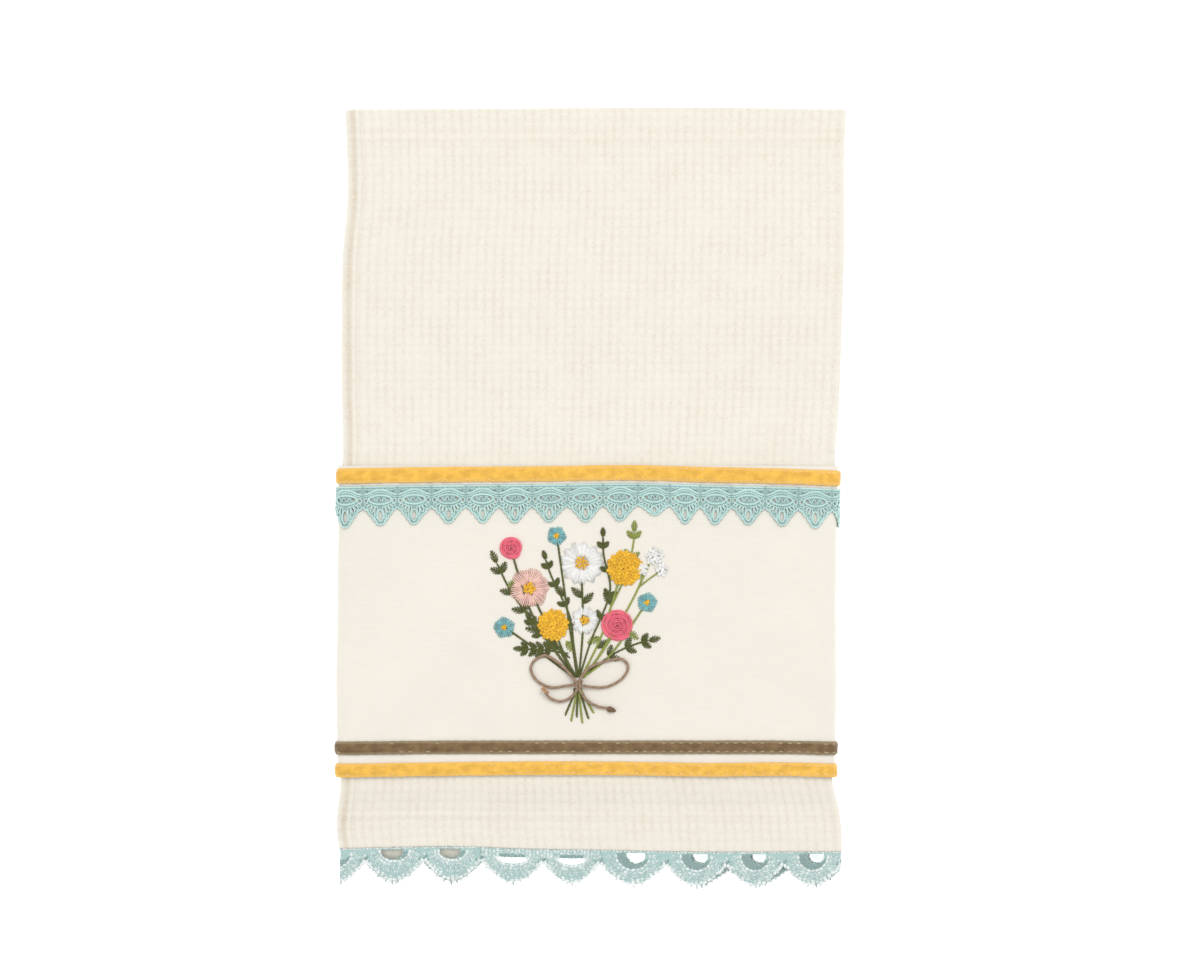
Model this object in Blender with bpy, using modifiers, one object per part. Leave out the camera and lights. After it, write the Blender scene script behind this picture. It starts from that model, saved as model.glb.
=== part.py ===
"""Folded kitchen towel: waffle cloth with a sewn panel, velvet ribbons, two laces and a twine bow.

The towel lies face up. Its sides are tucked behind and it is folded in half at the top edge, so
four layers of cloth lie over each other. X runs to the right of the front, Y up to the top fold
and Z up from the surface that the towel lies on. Lengths below are millimetres, and MM turns them
into Blender's metres.
"""

from collections import namedtuple
from math import cos, pi, sin

import bmesh
import bpy
import numpy as np
from mathutils import Matrix, Vector

MM = 0.001

# Cloth and its folds
CLOTH = 1.4  # thickness of the waffle cloth
PITCH = 2.0  # from one folded layer to the next
SIDE_RADIUS = PITCH  # side folds, at the middle of the two layers that turn together
LEFT_FLAP = 62.0  # how far each tucked side reaches back under the front
RIGHT_FLAP = 92.0
PANEL = 1.0  # thickness of the plain panel
TRIM = 1.0  # thickness of the ribbons and of the point lace
HEM_LACE = 1.2  # thickness of the crochet edging
GAP = 0.3  # between pieces that are sewn to each other
HEM_GAP = 0.45  # from the hem's edge to the crochet edging

# Layers, measured outwards from the middle of the pair of cloth layers
FRONT_LAYER = PITCH / 2
BACK_LAYER = -PITCH / 2
PANEL_LAYER = FRONT_LAYER + CLOTH / 2 + GAP + PANEL / 2
TRIM_LAYER = PANEL_LAYER + PANEL / 2 + GAP + TRIM / 2
TRIM_LIFT = TRIM_LAYER + TRIM / 2 - FRONT_LAYER - CLOTH / 2  # cloth carried on its own trims
TOP_SURFACE = PANEL_LAYER + PANEL / 2

# Heights on the front of the towel
PANEL_TOP = 13.0
PANEL_FOOT = -117.2
RIBBON_WIDTH = 6.4
PANEL_SHORT = 2.0  # how far each piece stops short of a flap's free edge
TRIM_SHORT = 3.0
HEM_LACE_SHORT = 1.0
TWINE = 1.5  # diameter of the twine

Outline = namedtuple("Outline", "y left right")
OUTLINE = (
    Outline(163.2, -102.3, 107.1),
    Outline(145.5, -102.5, 106.5),
    Outline(124.5, -102.4, 106.1),
    Outline(103.5, -104.2, 106.3),
    Outline(78.3, -104.8, 105.6),
    Outline(36.3, -104.8, 104.8),
    Outline(11.1, -105.8, 104.6),
    Outline(-14.1, -106.1, 103.8),
    Outline(-47.7, -106.5, 103.7),
    Outline(-81.3, -106.9, 103.8),
    Outline(-98.1, -106.6, 103.6),
    Outline(-114.9, -106.3, 102.9),
    Outline(-131.7, -106.5, 103.7),
    Outline(-140.1, -107.0, 105.2),
    Outline(-148.5, -105.8, 105.4),
    Outline(-163.2, -105.8, 104.2),
)

Lift = namedtuple("Lift", "y height side")
LIFTS = (  # how high the cloth is carried, and how far its trims reach past its sides
    Lift(-134.0, 0.0, 0.0),
    Lift(-119.0, TRIM_LIFT, PANEL + GAP),
    Lift(18.0, TRIM_LIFT, PANEL + GAP),
    Lift(44.0, 0.0, 0.0),
)

Edge = namedtuple("Edge", "x top hem back_hem")
EDGES = (
    Edge(-106.0, 162.2, -148.0, -153.4),
    Edge(-50.0, 162.9, -147.2, -153.8),
    Edge(-30.0, 163.0, -148.0, -147.6),
    Edge(4.0, 163.3, -148.6, -146.6),
    Edge(30.0, 163.2, -149.2, -146.8),
    Edge(107.0, 161.8, -149.2, -147.4),
)

Ribbons = namedtuple("Ribbons", "x upper middle lower")
RIBBONS = (  # middle lines of the three ribbons
    Ribbons(-106.0, 8.6, -105.7, -115.1),
    Ribbons(-67.0, 9.2, -105.3, -114.5),
    Ribbons(-17.0, 9.6, -105.2, -114.0),
    Ribbons(17.0, 10.0, -105.2, -114.2),
    Ribbons(50.0, 9.2, -105.2, -114.7),
    Ribbons(84.0, 8.4, -105.3, -114.5),
    Ribbons(104.0, 7.6, -105.8, -115.1),
)

Crease = namedtuple("Crease", "x0 y0 x1 y1 width rise")
CREASES = (  # soft ridges of the front
    Crease(11.0, 160.0, 10.0, 30.0, 10.0, 0.55),
    Crease(-4.0, 158.0, -2.0, 70.0, 11.0, 0.30),
    Crease(-101.0, 149.8, 105.0, 149.8, 2.2, 0.35),
    Crease(96.0, 4.0, 95.5, -98.0, 9.0, 0.45),
    Crease(-44.0, 100.0, -50.0, -60.0, 16.0, 0.30),
    Crease(70.0, 120.0, 62.0, 20.0, 18.0, 0.35),
    Crease(-104.0, -134.6, 104.0, -134.6, 2.4, 0.35),
    Crease(80.0, -138.0, 103.0, -146.0, 10.0, 0.50),
)

# Point lace: a band with pointed scallops, as they lie along the front
LACE_DROP = 4.4  # from the ribbon's middle line to the lace's upper edge
LACE_BAND = 8.6  # straight part of the lace, down to the notches
POINT_PITCH = 14.4
POINT_DROP = 16.4  # depth of the points on the flaps
POINT_CURVE = 1.3  # how full the sides of a point are
Point = namedtuple("Point", "x drop")
POINTS = (
    Point(-102.9, 17.6),
    Point(-87.8, 16.6),
    Point(-73.9, 16.4),
    Point(-59.2, 16.0),
    Point(-44.9, 16.0),
    Point(-31.5, 16.0),
    Point(-17.2, 15.8),
    Point(-1.7, 16.0),
    Point(12.6, 15.8),
    Point(27.3, 13.2),
    Point(39.9, 16.4),
    Point(52.5, 16.4),
    Point(66.4, 16.2),
    Point(80.6, 16.4),
    Point(94.5, 16.8),
)

# Crochet edging: scallops under the hem, each around one opening
SCALLOP_PITCH = 24.8
SCALLOP_ENDS = (-118.5, -94.5, -69.7, -45.8, -19.7, 4.2, 31.9, 57.5, 81.5, 106.0)
SCALLOP_DEPTH = 14.6
HEADER = 2.0  # straight chain next to the hem
NOTCH_DEPTH = 5.0
HOLE_HALF = 5.6  # half the width of an opening
HOLE_DEPTH = 5.0
HOLE_BULGE = 1.07  # how much wider an opening is just under its straight edge
HOLE_CURVE = 0.8  # how full the curves of openings and scallops are
SCALLOP_CURVE = 0.7
CHAIN_WIDTH = 3.5  # beaded row round an opening
DROOP = 1.6  # how far the edging's free points sink

# Twine bow, as routes that lie on the panel; over is the height above it
Turn = namedtuple("Turn", "x y over")
LEFT_LOOP = (
    Turn(-5.2, -78.4, 0.9),
    Turn(-10.1, -72.6, 0.6),
    Turn(-14.3, -69.0, 0.2),
    Turn(-18.9, -66.7, 0.0),
    Turn(-23.3, -68.9, 0.0),
    Turn(-24.8, -72.5, 0.0),
    Turn(-22.5, -77.0, 0.0),
    Turn(-18.1, -79.6, 0.0),
    Turn(-14.3, -80.1, 0.1),
    Turn(-10.1, -79.4, 0.4),
    Turn(-5.6, -79.3, 0.9),
)
RIGHT_LOOP = (
    Turn(-4.4, -78.0, 0.9),
    Turn(-3.2, -75.0, 1.0),
    Turn(0.4, -71.4, 0.5),
    Turn(8.4, -68.6, 0.1),
    Turn(13.7, -68.4, 0.0),
    Turn(16.0, -71.8, 0.0),
    Turn(13.2, -76.6, 0.0),
    Turn(6.7, -79.9, 0.1),
    Turn(-0.4, -79.8, 0.5),
    Turn(-4.2, -79.2, 0.9),
)
LEFT_TAIL = (
    Turn(-5.2, -79.6, 0.6),
    Turn(-6.4, -82.6, 0.3),
    Turn(-9.2, -85.0, 0.0),
    Turn(-12.6, -86.0, 0.0),
    Turn(-16.4, -84.8, 0.3),
    Turn(-18.6, -82.4, 1.4),
    Turn(-18.8, -81.2, 1.7),
)
RIGHT_TAIL = (
    Turn(-4.6, -79.6, 0.6),
    Turn(-3.6, -82.4, 0.3),
    Turn(-0.8, -85.9, 0.0),
    Turn(3.4, -88.1, 0.0),
    Turn(7.4, -88.8, 0.0),
    Turn(8.8, -89.4, 0.1),
)
Knot = namedtuple("Knot", "x y over wide deep high")
KNOTS = (
    Knot(-4.9, -79.0, 0.7, 2.5, 1.9, 1.5),
    Knot(-18.9, -81.2, 1.7, 1.3, 1.2, 1.1),
    Knot(8.8, -89.4, 0.2, 1.4, 1.2, 1.0),
)

# Steps of the meshes
FLAP_STEPS = 2
FOLD_STEPS = 6
FRONT_STEPS = 18
TOP_STEPS = 6
BODY_ROWS = (155.0, 149.8, 143.0, 125.0, 100.0, 72.0, 44.0, 35.0, 27.0, 18.0, 0.0, -12.0, -30.0,
             -60.0, -90.0, -103.0, -119.0, -126.0, -134.0, -141.0)
BACK_ROWS = (143.0, 100.0, 44.0, 35.0, 27.0, 18.0, -50.0, -119.0, -126.0, -134.0)
PANEL_ROWS = (PANEL_TOP, 0.0, -12.0, -30.0, -60.0, -90.0, -103.0, PANEL_FOOT)
RIBBON_STEPS = 2
POINT_STEPS = 6
LACE_STEPS = 2
SCALLOP_STEPS = 10
HOLE_STEPS = 7
TUBE_STEP = 2.8  # between rings of the twine


def curve_through(rows, place, column):
    """A column of a table, on a smooth curve through its rows, where the first column is place."""
    rows = sorted(rows)
    keys = [row[0] for row in rows]
    values = [getattr(row, column) for row in rows]
    if place <= keys[0]:
        return values[0]
    if place >= keys[-1]:
        return values[-1]
    slopes = np.gradient(values, keys)
    i = int(np.searchsorted(keys, place, side="right")) - 1
    span = keys[i + 1] - keys[i]
    f = (place - keys[i]) / span
    return (
        values[i] * (1 + 2 * f) * (1 - f) ** 2
        + values[i + 1] * f * f * (3 - 2 * f)
        + slopes[i] * span * f * (1 - f) ** 2
        - slopes[i + 1] * span * f * f * (1 - f)
    )


def eased(rows, place, column):
    """A column of a table that stays level at its rows and eases from one row to the next."""
    keys = [row[0] for row in rows]
    values = [getattr(row, column) for row in rows]
    i = int(np.clip(np.searchsorted(keys, place, side="right") - 1, 0, len(keys) - 2))
    f = min(max((place - keys[i]) / (keys[i + 1] - keys[i]), 0.0), 1.0)
    return values[i] + (values[i + 1] - values[i]) * f * f * (3 - 2 * f)


def ridge_height(x, y):
    """Height of the soft ridges at a place on the front."""
    height = 0.0
    for crease in CREASES:
        start = Vector((crease.x0, crease.y0))
        along = Vector((crease.x1, crease.y1)) - start
        f = min(max((Vector((x, y)) - start).dot(along) / along.length_squared, 0.0), 1.0)
        away = (Vector((x, y)) - start - along * f).length / crease.width
        height += crease.rise * max(0.0, 1 - away * away) ** 2
    return height


def relief(x, y):
    """The ridges' height, straight between the front's columns so that every layer shares it."""
    left, right = fold_lines(y)
    column = (right - left) / FRONT_STEPS
    number = min(max(int((x - left) / column), 0), FRONT_STEPS - 1)
    start = left + column * number
    f = (x - start) / column
    return ridge_height(start, y) * (1 - f) + ridge_height(start + column, y) * f


def fold_lines(y):
    """Where the two side folds begin: the middles of their bends."""
    reach = SIDE_RADIUS + FRONT_LAYER + CLOTH / 2 + eased(LIFTS, y, "side")
    return curve_through(OUTLINE, y, "left") + reach, curve_through(OUTLINE, y, "right") - reach


def place(x, y, layer, bend=None):
    """The point of a layer that lies at x along the unfolded width, with the sides tucked under.

    bend is the radius at which x is measured round a side fold, the layer's own if none is given.
    """
    radius = SIDE_RADIUS + layer
    bend = bend or radius
    left, right = fold_lines(y)
    middle = CLOTH / 2 + SIDE_RADIUS + FRONT_LAYER + eased(LIFTS, y, "height")
    side, past = (-1, left - x) if x < left else (1, x - right)
    if past <= 0:
        rise = relief(x, y) if layer > 0 else 0.0
        return Vector((x, y, middle + radius + rise)) * MM
    edge = left if side < 0 else right
    angle = min(past / bend, pi)
    under = max(0.0, past - pi * bend)
    rise = relief(edge, y) * max(0.0, cos(angle)) if layer > 0 else 0.0
    across = edge + side * (radius * sin(angle) - under)
    return Vector((across, y, middle + radius * cos(angle) + rise)) * MM


def flap_runs(short):
    """How far a piece runs under the front past the two side folds."""
    fold = SIDE_RADIUS + FRONT_LAYER
    return LEFT_FLAP - fold - short, RIGHT_FLAP - fold - short


def unfolded_ends(y, layer, short):
    """Where a piece begins and ends along the unfolded width."""
    turn = pi * (SIDE_RADIUS + layer)
    left, right = fold_lines(y)
    left_run, right_run = flap_runs(short)
    return left - turn - left_run, right + turn + right_run


def columns(bend, short=0.0):
    """Places across the unfolded width, as functions of y, from the left flap to the right one."""
    turn = pi * bend
    left_run, right_run = flap_runs(short)
    made = []
    for i in range(FLAP_STEPS):
        made.append(lambda y, f=1 - i / FLAP_STEPS: fold_lines(y)[0] - turn - left_run * f)
    for i in range(FOLD_STEPS):
        made.append(lambda y, f=1 - i / FOLD_STEPS: fold_lines(y)[0] - turn * f)
    for i in range(FRONT_STEPS + 1):
        made.append(lambda y, f=i / FRONT_STEPS: fold_lines(y)[0] * (1 - f) + fold_lines(y)[1] * f)
    for i in range(1, FOLD_STEPS + 1):
        made.append(lambda y, f=i / FOLD_STEPS: fold_lines(y)[1] + turn * f)
    for i in range(1, FLAP_STEPS + 1):
        made.append(lambda y, f=i / FLAP_STEPS: fold_lines(y)[1] + turn + right_run * f)
    return made


def material(name, colour, roughness, sheen=0.0):
    made = bpy.data.materials.new(name)
    made.use_nodes = True
    shader = made.node_tree.nodes["Principled BSDF"]
    shader.inputs["Base Color"].default_value = (*colour, 1)
    shader.inputs["Roughness"].default_value = roughness
    shader.inputs["Metallic"].default_value = 0.0
    shader.inputs["Sheen Weight"].default_value = sheen
    return made


def add_object(name, mesh, finish, collection):
    made = bpy.data.objects.new(name, mesh)
    collection.objects.link(made)
    mesh.materials.append(finish)
    mesh.shade_smooth()
    return made


def thicken(made, thickness):
    shell = made.modifiers.new("Thickness", "SOLIDIFY")
    shell.thickness = thickness * MM
    shell.offset = 0.0
    shell.use_even_offset = True
    shell.use_rim = True
    return made


def sheet_object(name, across, along, at, thickness, finish, collection):
    """A sheet of cloth: a grid whose point (i, j) goes to at(i, j), given its thickness."""
    bm = bmesh.new()
    bmesh.ops.create_grid(bm, x_segments=across, y_segments=along, size=0.5)
    for vertex in bm.verts:
        i = round((vertex.co.x + 0.5) * across)
        j = round((vertex.co.y + 0.5) * along)
        vertex.co = at(i, j)
    mesh = bpy.data.meshes.new(name)
    bm.to_mesh(mesh)
    bm.free()
    return thicken(add_object(name, mesh, finish, collection), thickness)


def towel_body(finish, collection):
    """Both halves of the cloth and the fold at the top, from the back hem to the front hem."""
    stations = columns(SIDE_RADIUS)
    turn_radius = PITCH / 2

    def rows_at(column):
        x = column(0.0)
        left, right = fold_lines(0.0)
        shown = left - (x - left) if x < left else right - (x - right) if x > right else x
        top = curve_through(EDGES, shown, "top") - CLOTH / 2 - turn_radius
        back = [curve_through(EDGES, shown, "back_hem"), *sorted(BACK_ROWS)]
        found = [(y, BACK_LAYER) for y in back]
        for k in range(TOP_STEPS + 1):
            angle = pi * (k / TOP_STEPS - 0.5)
            found.append((top + turn_radius * cos(angle), turn_radius * sin(angle)))
        found += [(y, FRONT_LAYER) for y in BODY_ROWS]
        found.append((curve_through(EDGES, shown, "hem"), FRONT_LAYER))
        return found

    rows = [rows_at(column) for column in stations]

    def at(i, j):
        y, layer = rows[i][j]
        return place(stations[i](y), y, layer, SIDE_RADIUS)

    return sheet_object("towel_body", len(stations) - 1, len(rows[0]) - 1, at, CLOTH, finish,
                        collection)


def cream_panel(finish, collection):
    stations = columns(SIDE_RADIUS + PANEL_LAYER, PANEL_SHORT)
    rows = sorted(PANEL_ROWS)

    def at(i, j):
        return place(stations[i](rows[j]), rows[j], PANEL_LAYER)

    return sheet_object("cream_panel", len(stations) - 1, len(rows) - 1, at, PANEL, finish,
                        collection)


def ribbon(name, line, finish, collection):
    """A ribbon round the front, straight across it and along both flaps."""
    stations = columns(SIDE_RADIUS + TRIM_LAYER, TRIM_SHORT)

    def at(i, j):
        guess = stations[i](0.0)
        y = curve_through(RIBBONS, guess, line) + (j / RIBBON_STEPS - 0.5) * RIBBON_WIDTH
        return place(stations[i](y), y, TRIM_LAYER)

    return sheet_object(name, len(stations) - 1, RIBBON_STEPS, at, TRIM, finish, collection)


def lace_points():
    """The points of the lace along the whole unfolded width, from the left flap to the right."""
    first, last = POINTS[0], POINTS[-1]
    left_end, right_end = unfolded_ends(0.0, TRIM_LAYER, TRIM_SHORT)
    before = int((first.x - left_end) / POINT_PITCH - 0.5)
    after = int((right_end - last.x) / POINT_PITCH - 0.5)
    return (
        [Point(first.x - POINT_PITCH * k, POINT_DROP) for k in range(before, 0, -1)]
        + list(POINTS)
        + [Point(last.x + POINT_PITCH * k, POINT_DROP) for k in range(1, after + 1)]
    )


def point_lace(finish, collection):
    """The lace under the upper ribbon: a band whose lower edge runs in rounded points."""
    points = lace_points()
    notches = [points[0].x - POINT_PITCH / 2]
    notches += [(a.x + b.x) / 2 for a, b in zip(points, points[1:])]
    notches.append(points[-1].x + POINT_PITCH / 2)
    stations = []
    for number, point in enumerate(points):
        for k in range(POINT_STEPS):
            f = k / POINT_STEPS
            x = notches[number] * (1 - f) + notches[number + 1] * f
            side = abs(2 * f - 1)
            reach = LACE_BAND + (point.drop - LACE_BAND) * (1 - side ** POINT_CURVE)
            stations.append((x, reach))
    stations.append((notches[-1], LACE_BAND))

    def at(i, j):
        x, reach = stations[i]
        y = curve_through(RIBBONS, x, "upper") - LACE_DROP - reach * (1 - j / LACE_STEPS)
        return place(x, y, TRIM_LAYER)

    return sheet_object("point_lace", len(stations) - 1, LACE_STEPS, at, TRIM, finish, collection)


def flat_outlines(name, outlines):
    """A flat mesh filled between an outer outline and the outlines of its openings."""
    curve = bpy.data.curves.new(name, "CURVE")
    curve.dimensions = "2D"
    curve.fill_mode = "BOTH"
    for outline in outlines:
        spline = curve.splines.new("POLY")
        spline.points.add(len(outline) - 1)
        for point, (x, y) in zip(spline.points, outline):
            point.co = (x, y, 0, 1)
        spline.use_cyclic_u = True
    guide = bpy.data.objects.new(name, curve)
    bpy.context.scene.collection.objects.link(guide)
    bpy.context.view_layer.update()
    mesh = bpy.data.meshes.new_from_object(guide.evaluated_get(bpy.context.evaluated_depsgraph_get()))
    bpy.data.objects.remove(guide)
    bpy.data.curves.remove(curve)
    return mesh


def scallop_ends():
    """Where the scallops meet, along the whole unfolded width."""
    left_end, right_end = unfolded_ends(EDGES[0].hem, FRONT_LAYER, HEM_LACE_SHORT)
    before = int((SCALLOP_ENDS[0] - left_end) / SCALLOP_PITCH)
    after = int((right_end - SCALLOP_ENDS[-1]) / SCALLOP_PITCH)
    ends = [SCALLOP_ENDS[0] - SCALLOP_PITCH * k for k in range(before, 0, -1)]
    ends += SCALLOP_ENDS
    ends += [SCALLOP_ENDS[-1] + SCALLOP_PITCH * k for k in range(1, after + 1)]
    return ends


def hem_lace(finish, collection):
    """The crochet edging: a straight chain along the hem and scallops with openings under it."""
    ends = scallop_ends()
    lower, holes = [], []
    for a, b in zip(ends, ends[1:]):
        middle, half = (a + b) / 2, (b - a) / 2
        for k in range(SCALLOP_STEPS):
            angle = pi * k / SCALLOP_STEPS
            depth = NOTCH_DEPTH + (SCALLOP_DEPTH - NOTCH_DEPTH) * sin(angle) ** SCALLOP_CURVE
            lower.append((middle - half * cos(angle), -depth))
        scale = half / (SCALLOP_PITCH / 2)
        hole = [(middle - HOLE_HALF * scale, -HEADER), (middle + HOLE_HALF * scale, -HEADER)]
        for k in range(1, HOLE_STEPS):
            angle = pi * k / HOLE_STEPS
            hole.append((middle + HOLE_HALF * HOLE_BULGE * scale * cos(angle),
                         -HEADER - HOLE_DEPTH * sin(angle) ** HOLE_CURVE))
        holes.append(hole)
    lower.append((ends[-1], -NOTCH_DEPTH))
    outer = [(ends[-1], 0.0), (ends[0], 0.0), *lower]
    mesh = flat_outlines("hem_lace", [outer, *holes])

    bm = bmesh.new()
    bm.from_mesh(mesh)
    bmesh.ops.remove_doubles(bm, verts=bm.verts, dist=1e-4)
    turn = pi * (SIDE_RADIUS + FRONT_LAYER)
    hem_y = EDGES[0].hem
    left, right = fold_lines(hem_y)
    cuts = [left - turn * k / FOLD_STEPS for k in range(FOLD_STEPS + 1)]
    cuts += [right + turn * k / FOLD_STEPS for k in range(FOLD_STEPS + 1)]
    cuts += [left + (right - left) * k / FRONT_STEPS for k in range(3, FRONT_STEPS, 3)]
    for cut in cuts:
        bmesh.ops.bisect_plane(bm, geom=[*bm.verts, *bm.edges, *bm.faces], dist=1e-4,
                               plane_co=(cut, 0, 0), plane_no=(1, 0, 0))
    for cut in (-HEADER - HOLE_DEPTH, -HEADER - HOLE_DEPTH - CHAIN_WIDTH):
        bmesh.ops.bisect_plane(bm, geom=[*bm.verts, *bm.edges, *bm.faces], dist=1e-4,
                               plane_co=(0, cut, 0), plane_no=(0, 1, 0))
    for vertex in bm.verts:
        x, depth = vertex.co.x, -vertex.co.y
        shown = min(max(x, EDGES[0].x), EDGES[-1].x)
        y = curve_through(EDGES, shown, "hem") - HEM_GAP - depth
        point = place(x, y, FRONT_LAYER)
        ring = HEADER + HOLE_DEPTH
        free = min(max((depth - ring) / (SCALLOP_DEPTH - ring), 0), 1)
        height = point.z / MM
        sink = DROOP * free * min(1.0, max(0.0, (height - SIDE_RADIUS) / SIDE_RADIUS))
        vertex.co = (point.x, point.y, point.z - sink * MM)
    bmesh.ops.recalc_face_normals(bm, faces=bm.faces)
    bm.to_mesh(mesh)
    bm.free()
    return thicken(add_object("hem_lace", mesh, finish, collection), HEM_LACE)


def panel_height(x, y):
    """Height of the panel's upper surface."""
    return place(x, y, TOP_SURFACE).z / MM


def smooth_route(turns):
    """Points about TUBE_STEP apart on a smooth curve through a route's turns."""
    corners = np.array([(t.x, t.y, panel_height(t.x, t.y) + GAP + TWINE / 2 + t.over) for t in turns])
    padded = np.vstack([2 * corners[0] - corners[1], corners, 2 * corners[-1] - corners[-2]])
    route = []
    for a, b, c, d in zip(padded, padded[1:], padded[2:], padded[3:]):
        steps = max(1, round(float(np.linalg.norm(c - b)) / TUBE_STEP))
        for f in np.arange(steps) / steps:
            route.append(0.5 * (2 * b + (c - a) * f + (2 * a - 5 * b + 4 * c - d) * f * f
                                + (3 * b - a - 3 * c + d) * f ** 3))
    route.append(corners[-1])
    return route


def tube_mesh(name, route, diameter):
    curve = bpy.data.curves.new(name, "CURVE")
    curve.dimensions = "3D"
    curve.bevel_depth = diameter / 2 * MM
    curve.bevel_resolution = 2
    curve.use_fill_caps = True
    spline = curve.splines.new("POLY")
    spline.points.add(len(route) - 1)
    for point, co in zip(spline.points, route):
        point.co = (*(co * MM), 1)
    guide = bpy.data.objects.new(name, curve)
    bpy.context.scene.collection.objects.link(guide)
    bpy.context.view_layer.update()
    mesh = bpy.data.meshes.new_from_object(guide.evaluated_get(bpy.context.evaluated_depsgraph_get()))
    bpy.data.objects.remove(guide)
    bpy.data.curves.remove(curve)
    bm = bmesh.new()
    bm.from_mesh(mesh)
    bmesh.ops.remove_doubles(bm, verts=bm.verts, dist=1e-6)
    bmesh.ops.recalc_face_normals(bm, faces=bm.faces)
    bm.to_mesh(mesh)
    bm.free()
    return mesh


def knot_mesh(knot):
    z = panel_height(knot.x, knot.y) + GAP + TWINE / 2 + knot.over
    bm = bmesh.new()
    shape = Matrix.Translation(Vector((knot.x, knot.y, z)) * MM) @ Matrix.Diagonal(
        (knot.wide * MM, knot.deep * MM, knot.high * MM, 1))
    bmesh.ops.create_uvsphere(bm, u_segments=10, v_segments=6, radius=1, matrix=shape)
    mesh = bpy.data.meshes.new("knot")
    bm.to_mesh(mesh)
    bm.free()
    return mesh


def twine_bow(finish, collection, cutters):
    """Two loops, two tails and their knots, joined to one solid."""
    routes = {"left_loop": LEFT_LOOP, "right_loop": RIGHT_LOOP, "left_tail": LEFT_TAIL,
              "right_tail": RIGHT_TAIL}
    bow = add_object("twine_bow", knot_mesh(KNOTS[0]), finish, collection)
    joined = [tube_mesh(name, smooth_route(route), TWINE) for name, route in routes.items()]
    joined += [knot_mesh(knot) for knot in KNOTS[1:]]
    for number, mesh in enumerate(joined):
        part = bpy.data.objects.new(f"bow_strand_{number}", mesh)
        cutters.objects.link(part)
        part.hide_render = True
        part.display_type = "WIRE"
        union = bow.modifiers.new(f"Strand {number}", "BOOLEAN")
        union.operation = "UNION"
        union.solver = "EXACT"
        union.object = part
    return bow


def main():
    for obj in list(bpy.data.objects):
        bpy.data.objects.remove(obj)
    towel = bpy.data.collections.new("folded_towel")
    cutters = bpy.data.collections.new("joined_strands")
    bpy.context.scene.collection.children.link(towel)
    bpy.context.scene.collection.children.link(cutters)

    waffle = material("waffle_cloth", (0.89, 0.84, 0.74), 0.9)
    plain = material("plain_cloth", (0.89, 0.85, 0.75), 0.85)
    yellow = material("yellow_velvet", (0.88, 0.50, 0.07), 0.75, 0.3)
    brown = material("brown_velvet", (0.21, 0.15, 0.08), 0.75, 0.3)
    teal = material("teal_lace", (0.36, 0.61, 0.59), 0.8)
    crochet = material("teal_crochet", (0.40, 0.64, 0.62), 0.8)
    twine = material("twine", (0.30, 0.21, 0.13), 0.85)

    towel_body(waffle, towel)
    cream_panel(plain, towel)
    ribbon("upper_ribbon", "upper", yellow, towel)
    ribbon("middle_ribbon", "middle", brown, towel)
    ribbon("lower_ribbon", "lower", yellow, towel)
    point_lace(teal, towel)
    hem_lace(crochet, towel)
    twine_bow(twine, towel, cutters)


main()
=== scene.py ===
"""Looks of the folded kitchen towel: waffle cloth, sewn panel, velvet ribbons, laces, stitched
bouquet and twine bow.

Places are given as on the unfolded front: x runs across the cloth and on round both side folds, y
runs up to the top fold, and a layer is a height over the middle of the folded cloth. Tables are in
millimetres, and MM turns them into metres. Every piece is laid through the same folds, so the
pieces lie on each other as they do in the solids.
"""

from math import cos, hypot, pi, sin

import bmesh
import bpy
import numpy as np
from bpy.props import FloatProperty, FloatVectorProperty, IntProperty, PointerProperty
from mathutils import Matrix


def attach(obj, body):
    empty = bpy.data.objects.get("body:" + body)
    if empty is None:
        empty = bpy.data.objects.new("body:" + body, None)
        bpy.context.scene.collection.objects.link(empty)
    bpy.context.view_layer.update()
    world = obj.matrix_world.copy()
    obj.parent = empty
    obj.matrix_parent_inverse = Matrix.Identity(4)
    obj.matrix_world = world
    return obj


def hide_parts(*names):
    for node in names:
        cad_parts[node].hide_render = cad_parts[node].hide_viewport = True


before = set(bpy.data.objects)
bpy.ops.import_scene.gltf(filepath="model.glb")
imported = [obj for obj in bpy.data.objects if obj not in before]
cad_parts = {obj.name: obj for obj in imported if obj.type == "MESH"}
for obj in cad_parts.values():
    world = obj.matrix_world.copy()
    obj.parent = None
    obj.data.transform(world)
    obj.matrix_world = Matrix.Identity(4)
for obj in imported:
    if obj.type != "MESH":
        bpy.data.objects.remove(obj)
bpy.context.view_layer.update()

bl_info = {
    "name": "Folded kitchen towel",
    "version": (1, 0, 0),
    "blender": (4, 5, 0),
    "location": "View3D > Sidebar > Towel",
    "description": "Dresses the solids of a folded kitchen towel with cloth, ribbons and laces",
    "category": "Object",
}

MM = 0.001
BODY = "root"

# Cloth and its folds, as in the solids
CLOTH = 1.4  # thickness of the waffle cloth
PITCH = 2.0  # from one folded layer to the next
SIDE_RADIUS = PITCH
LEFT_FLAP = 62.0  # how far each tucked side reaches back under the front
RIGHT_FLAP = 92.0
PANEL = 1.0
TRIM = 1.0
GAP = 0.3
HEM_GAP = 0.45
FRONT_LAYER = PITCH / 2
BACK_LAYER = -PITCH / 2
PANEL_LAYER = FRONT_LAYER + CLOTH / 2 + GAP + PANEL / 2
TRIM_LAYER = PANEL_LAYER + PANEL / 2 + GAP + TRIM / 2
TRIM_LIFT = TRIM_LAYER + TRIM / 2 - FRONT_LAYER - CLOTH / 2
TOP_SURFACE = PANEL_LAYER + PANEL / 2
PANEL_TOP = 13.0
PANEL_FOOT = -117.2
PANEL_CLOTH = 0.8  # real thickness of the panel, of a ribbon and of both laces' grounds
RIBBON_CLOTH = 0.5
LACE_NET = 0.3
HEM_NET = 0.45
PANEL_SHORT = 2.0  # how far each piece stops short of a flap's free edge
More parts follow.
